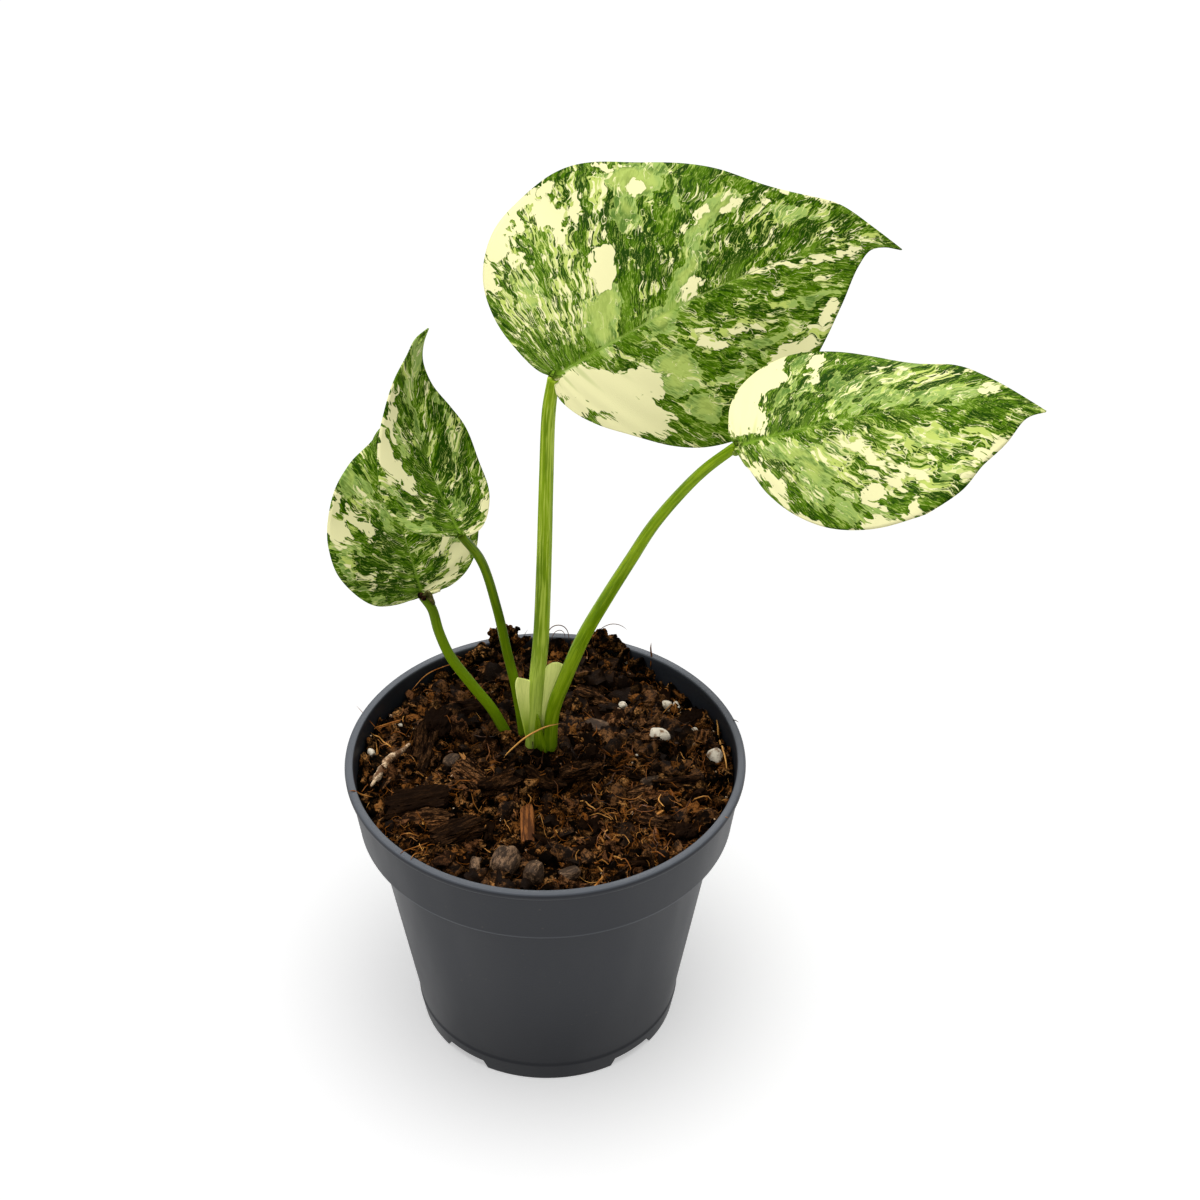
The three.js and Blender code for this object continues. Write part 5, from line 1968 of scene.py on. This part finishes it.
@dataclass
class Sheath:
    """One thin wing of the sheath at the stalks' foot, between two edges in x and z."""

    name: str
    outer: Rows
    inner: Rows
    depth: float
    curl: float
    finish: Material
    bulge: float = 0
    greenness: float = 0
    thickness: float = 0.5
    columns: int = 14
    rows: int = 40

    def build(self) -> Piece:
        """Models and dresses the wing.

        Returns:
            The wing.
        """
        outer, inner = Route(self.outer), Route(self.inner)

        def place(across: Array, along: Array) -> Array:
            """Spans the grid between the two edges, curled forward across.

            Args:
                across: Shares from the inner to the outer edge.
                along: Shares up the wing.

            Returns:
                A row of x, y and z for each vertex, in metres.
            """
            near, far = inner.evenly(along), outer.evenly(along)
            flat = near + (far - near) * across[:, None]
            y = self.depth - self.curl * across**2 + 0.15 * np.sin(9 * along + 4 * across)
            z = flat[:, 1] + self.bulge * 4 * across * (1 - across) * along**6
            return np.column_stack([flat[:, 0], y, z]) * MM

        wing, shares = laid_grid(self.name, self.columns, self.rows, place)
        note(wing, "skin", np.column_stack([shares[:, 0] * 6, shares[:, 1] * 24, shares[:, 0] * 0]))
        note(wing, "foot", np.clip(self.greenness + 0.75 - 1.6 * shares[:, 1], 0, 1))
        modify(wing, "SOLIDIFY", thickness=self.thickness * MM, offset=0)
        modify(wing, "SUBSURF", levels=1, render_levels=1)
        return finish_piece(wing, [self.finish])


@dataclass
class Studio:
    """The plain pale floor, the soft light and the camera of the photograph.

    Each light is a name, the side that it shines from, its spread and its strength.
    """

    camera_place: Triple = (0, -754.3, 750.2)
    pitch: float = 38.217
    yaw: float = 1.243
    lens: float = 100
    sensor: float = 36
    nearest: float = 10
    farthest: float = 20000
    floor_size: float = 12000
    surroundings: float = 0.12
    floor_glow: float = 0.455
    plant_lights: tuple[Lamp, ...] = (
        ("key_light", (-0.35, 0.05, 1), 12, 2.2), ("dome_light", (0, 0, 1), 170, 0.9),
        ("left_light", (-0.58, -0.1, 1), 50, 0.55), ("right_light", (0.58, -0.1, 1), 50, 0.55),
        ("back_light", (0.05, 0.85, 0.7), 35, 1.1))
    floor_lights: tuple[Lamp, ...] = (("floor_light", (0, -0.06, 1), 44, 1.65),)
    front_light: Lamp = ("front_light", (0, -0.85, 0.5), 70, 0.65)

    def build(self) -> None:
        """Sets the camera, the floor, the lights and the surroundings."""
        data = bpy.data.cameras.new("camera")
        data.lens, data.sensor_width = self.lens, self.sensor
        data.clip_start, data.clip_end = self.nearest * MM, self.farthest * MM
        camera = bpy.data.objects.new("camera", data)
        camera.location = Vector(self.camera_place) * MM
        camera.rotation_euler = (math.radians(90 - self.pitch), 0, -math.radians(self.yaw))
        bpy.context.scene.collection.objects.link(camera)
        bpy.context.scene.camera = camera
        floor = self.floor()
        for state, lights in (("EXCLUDE", self.plant_lights), ("INCLUDE", self.floor_lights)):
            chosen = bpy.data.collections.new(f"floor_{state.lower()}d")
            chosen.objects.link(floor)
            chosen.collection_objects[0].light_linking.link_state = state
            for light in lights:
                self.light(*light).light_linking.receiver_collection = chosen
        world = bpy.data.worlds.new("studio")
        world.use_nodes = True
        world.node_tree.nodes["Background"].inputs["Color"].default_value = (1, 1, 1, 1)
        world.node_tree.nodes["Background"].inputs["Strength"].default_value = self.surroundings
        bpy.context.scene.world = world
        bpy.context.scene.view_settings.view_transform = "Standard"

    def cast_shadow(self, pot: Piece) -> None:
        """Lets only the pot shade the floor, as on the photo, where the leaves cast no shadow.

        Args:
            pot: The pot.
        """
        blocker = bpy.data.collections.new("floor_blocker")
        blocker.objects.link(pot)
        for name, *_ in self.floor_lights:
            bpy.data.objects[name].light_linking.blocker_collection = blocker

    def light_from_front(self, pieces: Sequence[Piece]) -> None:
        """Adds the soft light that the upright stalks and wings catch from the white room in front.

        Args:
            pieces: The stalks and wings.
        """
        upright = bpy.data.collections.new("upright")
        for piece in pieces:
            upright.objects.link(piece)
        self.light(*self.front_light).light_linking.receiver_collection = upright

    def floor(self) -> Piece:
        """Lays the floor, white enough to meet the background.

        Returns:
            The floor.
        """
        deselect()
        bpy.ops.mesh.primitive_plane_add(size=self.floor_size * MM)
        floor = bpy.context.object
        floor.name = "floor"
        material = bpy.data.materials.new("floor")
        material.use_nodes = True
        net = Wiring(material.node_tree)
        inputs = {"Base Color": (0.93, 0.93, 0.93), "Roughness": 0.9, "Specular IOR Level": 0.1,
                  "Emission Color": (1.0, 1.0, 1.0), "Emission Strength": self.floor_glow}
        surface = net.node("BsdfPrincipled", inputs)
        net.node("OutputMaterial", {"Surface": surface.outputs[0]})
        floor.data.materials.append(material)
        return floor

    def light(self, name: str, side: Triple, spread: float, power: float) -> Piece:
        """Adds a far light.

        Args:
            name: The light's name.
            side: The direction that it shines from.
            spread: How wide it looks, in degrees.
            power: Its strength in watts for each square metre.

        Returns:
            The light.
        """
        data = bpy.data.lights.new(name, "SUN")
        data.angle, data.energy = math.radians(spread), power
        light = bpy.data.objects.new(name, data)
        light.location = Vector(side).normalized()
        light.rotation_euler = (-Vector(side)).to_track_quat("-Z", "Y").to_euler()
        bpy.context.scene.collection.objects.link(light)
        return light


def leaves(finishes: Materials) -> list[tuple[Stalk, Blade]]:
    """The four leaves, each a stalk and a blade.

    Args:
        finishes: The materials.

    Returns:
        The leaves.
    """
    large = (
        Stalk(
            "large", radii=(2.5, 2.4, 2.4, 2.35, 2.2, 2.05, 1.95, 1.7), finish=finishes["stalk_skin_pale"],
            path=((-3.7, 10, 91.5), (-2.8, 9.9, 105.6), (-2, 9.7, 120.5), (-0.8, 9.6, 135.1),
             (0.4, 9.1, 164), (1.3, 8.7, 192.8), (2.3, 8.2, 217.3), (3.7, 8, 228.2))),
        Blade(
            "large", junction=(3.7, 8, 228.5), heading=19, climb=10, roll=36, length=108, half_width=46,
            arch=5, tip_drop=6, bow=8, hook=-6, slopes=(0.02, -0.12), bends=(-0.18, -0.25), wave=1.6,
            wave_count=3.2, wave_phase=0.1, flecks=0.32, finishes=finishes,
            left=((-3, 3), (-6, 10), (-8.5, 22), (-7, 35), (0, 46.5), (10, 54), (22, 58), (36, 56),
             (50, 50.5), (64, 41), (76, 31.5), (86, 24.5), (95, 18.5), (102, 10)),
            right=((-1, -5), (1, -10), (6, -16), (13, -21.5), (24, -28.5), (36, -32.5), (48, -33),
             (60, -28), (72, -19.5), (83, -9.5), (92, -0.5), (98, 3.5), (103, 3.6)),
            patches={
                Tone.CREAM: ((-5.5, 35, 5.5, 3.4, 72), (-1, 42, 7, 4, 52), (5, 48.5, 7, 3.8, 38),
                 (12, 53, 7, 3.2, 26), (18, 55.8, 5, 2.2, 10), (17.5, 45.5, 6.5, 2, 80),
                 (25, 43.5, 4.5, 2.4, 35), (3, 35.5, 3.5, 2, 20), (25, 23.6, 6, 4, 40),
                 (22.5, 19.5, 3, 2.6, 60), (43, 43.5, 3.6, 2.8, 60), (65, 28.6, 4, 1.8, 15),
                 (53, 27, 3.5, 1.3, 30), (73.5, 25.5, 2.4, 1.3), (84, 26, 8, 1, -32),
                 (93, 20.5, 5, 0.9, -35), (45.5, 9.5, 5, 1.2, 32), (40, 53.8, 6, 1, -10),
                 (56, 48.6, 7, 0.9, -33), (11, -8.5, 12, 6, -30), (20, -11, 7.5, 5, -20),
                 (17.5, -18, 9.5, 4.5, -38), (5, -4.5, 6, 2.6, -15), (3.5, -9, 5, 3.5, -55),
                 (44.5, -6.4, 3, 1.6, -10), (66, -17, 7, 3, 20), (78, -10.5, 4.5, 2.4, 40),
                 (84, 5.5, 12, 0.7, -2), (76, 4.5, 7, 0.6, -4), (94, 5.6, 4, 0.7, 3),
                 (12, -21.5, 8, 3, -38)),
                Tone.GREY: ((19, 11.5, 11, 5, 60), (43, 47, 9, 7.5), (37.5, 38.5, 7, 3, 65),
                 (46, 14, 13, 3.4, 42), (55, 25, 9, 3.4, 36), (62, 29.5, 8, 3.6, 12), (34, 5, 7, 4, 10),
                 (33, -11, 7, 6, -10), (36, -23, 5, 4.4), (62, -10.5, 9, 2.2, 4), (3, 24, 4, 7, 20),
                 (80, 20, 9, 1.6, -20), (76, -4, 9, 1.6), (50, 36, 7, 1.6, 60), (50, -16, 9, 1.5, 5)),
                Tone.DEEP: ((34, 36, 7, 3.5, 75), (34, 27, 7, 4.5, 60), (62, 16, 16, 4.5, 10),
                 (85, 14, 12, 3.5, -12), (41, 20, 8, 3, 50), (22, 38, 5, 3, 60)),
                Tone.MOTTLED: ((8, 28, 15, 22), (24, 47, 16, 9, -10), (72, -13, 14, 6, 10),
                 (60, 30, 12, 6, 20), (96, 8, 12, 5), (50, -4, 16, 5, -8))}))
    right = (
        Stalk(
            "right", radii=(2.05, 2.1, 2.1, 2.05, 1.95, 1.8, 1.65, 1.55, 1.5, 1.4),
            finish=finishes["stalk_skin"],
            path=((1.4, 8, 91.5), (2.3, 6.3, 108.5), (6.6, 3.5, 125.5), (11.7, -0.1, 143),
             (18.1, -4.3, 160.2), (24.8, -8.9, 177.3), (30.9, -13.4, 192.8), (38.6, -18.6, 208.3),
             (44.7, -22.6, 218.8), (52.1, -26, 228.2))),
        Blade(
            "right", junction=(52.1, -26, 228.6), heading=4, climb=5, roll=10, length=85, half_width=34,
            arch=4, tip_drop=3, bow=2.5, hook=-1, slopes=(-0.02, -0.2), bends=(-0.15, -0.2), wave=2.8,
            wave_count=1.3, wave_phase=0.72, flecks=0.37, finishes=finishes,
            left=((-1, 4), (-0.5, 10), (1, 17), (5, 24), (11, 28.5), (20, 31), (32, 30.5), (43, 27.5),
             (53, 22.5), (62, 19.5), (70, 13), (77, 7.5)),
            right=((1.5, -4), (3.5, -9.5), (6, -15), (11, -20.5), (18, -25), (27, -28), (38, -29.5),
             (48, -29), (57, -25.5), (64.5, -18), (72, -10.5), (79, -2)),
            patches={
                Tone.CREAM: ((4, 12, 5.5, 10, -12), (9, 22, 7, 6, 40), (13, 27.5, 7, 2.5, 15),
                 (3, 4, 4, 2.5), (25.5, 24, 4.5, 2.4, 50), (24.5, 18, 3.2, 2, 80), (57, 21.6, 7, 1, -10),
                 (70.5, 6.5, 4, 1.6, 10), (47, 22, 4, 1, -15), (35, -11, 8, 1.2, -45),
                 (46, -18, 7, 1.4, -45), (33, -22, 3, 2.8, 30), (40, -20, 5, 0.9, -50),
                 (5.5, -9, 4, 2.4, -60), (8.5, -16, 4, 2, -55), (38, -28.6, 12, 2.2, -2),
                 (17, -24.6, 7, 1.6, -28), (62, -19, 6, 1.6, 48), (72, -8.5, 5, 0.8, 48)),
                Tone.GREY: ((21.5, 26.5, 4, 1.8, 10), (31, 15, 7, 2.2, 70), (44, 17, 9, 3, 20),
                 (52, 21, 6, 2, -10), (60, 6, 13, 2.2, 4), (36, 7, 9, 1.8, 30), (18, -13, 7, 3.4, -42),
                 (26, -18, 5, 2.2, -40), (50, -8, 9, 1.8, -20), (17, 16.5, 9, 1.6, 60),
                 (20, 13, 9, 1.6, 60), (34, 15, 11, 1.6, 25), (36, 11.5, 10, 1.6, 25),
                 (46, 7, 10, 2.4, 8), (17, -7, 9, 3.6, -30), (29, -8, 8, 1.8, -20),
                 (24, -22, 7, 1.8, -35), (55, -20, 7, 1.8, 42), (32, -25.5, 6, 1.4, -10)),
                Tone.DEEP: ((17, 14, 8, 3.5, 65), (15, 5, 7, 2.6, 20), (36, 17, 12, 6, 25),
                 (60, 14, 8, 3)),
                Tone.MOTTLED: ((42, -13, 24, 12, -15), (62, -10, 10, 7, 40), (52, 16, 14, 6, -10))}))
    front_left = (
        Stalk(
            "front_left", radii=(1.4, 1.45, 1.45, 1.45, 1.4, 1.35, 1.2), finish=finishes["stalk_skin_dark"],
            rib_count=6,
            path=((-6.4, 14.4, 91.5), (-7.2, 13.6, 101.7), (-8.7, 12, 115.1), (-10.8, 8.6, 130.1),
             (-13.4, 1.4, 152.5), (-17.5, -7, 176.6), (-22.5, -12, 189))),
        Blade(
            "front_left", junction=(-22.5, -12, 189.3), heading=103, climb=54, roll=26, length=58,
            half_width=24, arch=-5, tip_drop=-2, bow=6, hook=-4, slopes=(0.2, 0.2), bends=(-0.1, -0.1),
            wave=0.8, wave_count=2.3, wave_phase=0.3, flecks=0.34, finishes=finishes, rows=130, columns=72,
            side_veins=7, quilt=0.2, thick=2, rib_width=0.8,
            left=((0, 2), (1, 6.5), (2, 13.5), (5, 19), (10, 22.5), (17, 23.5), (26, 21.5), (35, 18),
             (44, 13.5), (51, 8.5), (55.5, 6)),
            right=((-0.5, -2), (1, -6.5), (5, -10), (12, -12.5), (20, -11.5), (29, -9), (36, -5), (43, 0),
             (50, 3), (54.5, 3)),
            patches={
                Tone.CREAM: ((25, 17.8, 9, 4, -12), (18.5, 13.5, 5, 2.4, 20), (34, 17, 6, 2, -25),
                 (41, 14.2, 5, 1.8, -28), (7, -10.4, 3, 2.2), (2.5, -6.6, 4, 1.6, -55)),
                Tone.GREY: ((4, 14.5, 6, 2, 70), (13, 18, 5, 1.8, 55), (34, 8, 8, 1.2),
                 (28, -4, 5, 1.8, 10), (11, -3, 5, 1, -20), (49, 5.4, 9, 1.5, -8), (38, -1.5, 5, 1.2, 15),
                 (28, 12, 5, 1.2)),
                Tone.DEEP: ((9, 11, 8, 3, 55), (20, -3, 16, 5, -4), (27, 7, 10, 1.6, 6)),
                Tone.MOTTLED: ((29, 10, 9, 3, -5), (27, -5, 7, 3, 10))}))
    back_left = (
        Stalk(
            "back_left", radii=(1.65, 1.65, 1.65, 1.6, 1.55, 1.5, 1.3), finish=finishes["stalk_skin_dark"],
            rib_count=6,
            path=((-11.3, 15.9, 91.5), (-15.9, 15.5, 102.7), (-21.8, 15.2, 112.8), (-27.9, 14.8, 124.1),
             (-30.9, 14.5, 133.5), (-32.8, 14.1, 142.9), (-35.2, 14, 147.2))),
        Blade(
            "back_left", junction=(-35.2, 14, 147.5), heading=110, climb=45, roll=12, length=52,
            half_width=24, arch=4, tip_drop=2, bow=4, hook=-7, slopes=(0.12, 0.12), bends=(-0.1, -0.1),
            wave=0.8, wave_count=2, wave_phase=0.6, flecks=0.36, finishes=finishes, rows=130, columns=72,
            side_veins=7, quilt=0.2, thick=2, rib_width=0.8,
            left=((-0.5, 3.5), (-1, 9.5), (0, 16), (4.5, 22), (11, 26.5), (19, 27), (27, 25), (35, 21),
             (42, 13.5), (47.5, 4)),
            right=((0.5, -2.5), (1, -8.5), (4, -14.5), (9, -19), (16, -21.5), (25, -21.5), (34, -18),
             (42, -12.5), (48, -7)),
            patches={
                Tone.CREAM: ((24.5, 22.6, 6, 3, -6), (27, 16.4, 5, 2.6, 25), (20.5, 13.6, 4, 1.8, 35),
                 (31, 22, 4, 2, -20), (4, -8, 4, 1.8, -70), (8.5, -14, 5.5, 2.4, -50),
                 (13, -10, 4, 1.4, -50), (4.5, -4, 2.4, 0.9, -40)),
                Tone.GREY: ((25, 8, 6, 1.6, 15), (38, 16, 6, 3, -30), (34, 12, 5, 1.8, 10),
                 (8, 7.5, 3.6, 1.2, 58), (13, 23, 6, 1.2, 20), (3, 16, 4, 1.2, 70), (12, -15, 4, 3, 30),
                 (16, 19, 4, 1, 50)),
                Tone.DEEP: ((8, 14, 9, 4, 55), (17, 10, 6, 2.6, 40), (6, -4, 6, 1.6, -40)),
                Tone.MOTTLED: ((8, -12, 9, 6, -50), (28, 12, 8, 4, 10))}))
    return [large, right, front_left, back_left]


def sheaths(finish: Material, web_finish: Material) -> list[Sheath]:
    """The two wings at the large stalk's foot, and the web that joins it to the right one.

    Args:
        finish: The wings' material.
        web_finish: The web's material.

    Returns:
        The wings and the web.
    """
    return [
        Sheath(
            "sheath_left", depth=8.8, curl=1.9, finish=finish, greenness=0.5,
            outer=((-5.6, 98), (-6.7, 104.4), (-7.3, 108), (-7.9, 112), (-8.4, 116), (-8.6, 119.6),
             (-8, 121.9)),
            inner=((-4.6, 98), (-4.4, 104), (-4.2, 108), (-4, 112), (-3.8, 115), (-3.6, 118),
             (-3.6, 118.8))),
        Sheath(
            "sheath_right", depth=8.9, curl=0.5, finish=finish, bulge=1.3,
            outer=((-0.2, 96), (0.6, 102.7), (1.6, 106.7), (3.1, 111.3), (4.4, 116), (5.6, 120.5),
             (6.2, 123.6), (5.6, 125.4)),
            inner=((-2.6, 96), (-2, 102.8), (-1.6, 107), (-1.4, 111), (-1.2, 115), (-0.6, 120), (0, 123),
             (0.7, 124.4))),
        Sheath(
            "sheath_web", depth=7.5, curl=1.3, finish=web_finish, greenness=0.1,
            outer=((0.6, 91), (0.2, 96), (-0.5, 100), (-1.2, 103.6), (-1.9, 106.6)),
            inner=((-3.5, 91), (-3.3, 96), (-3.2, 100), (-2.9, 104), (-2.3, 107.2)))]


def main() -> None:
    """Builds the plant, piece by piece, around the frame."""
    logging.basicConfig(level=logging.INFO, format="%(message)s")
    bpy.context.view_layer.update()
    studio = Studio()
    studio.build()
    finishes = build_finishes()
    studio.cast_shadow(Pot(finishes["pot_plastic"]).build())
    Soil(finishes).build()
    Crown(finishes["crown"]).build()
    greens = [sheath.build() for sheath in sheaths(finishes["sheath_skin"], finishes["stalk_skin"])]
    for stalk, blade in leaves(finishes):
        greens.append(stalk.build())
        blade.build()
    studio.light_from_front(greens)
    Nub(finishes["crown"], finishes["husk"]).build()


if __name__ == "__main__":
    main()
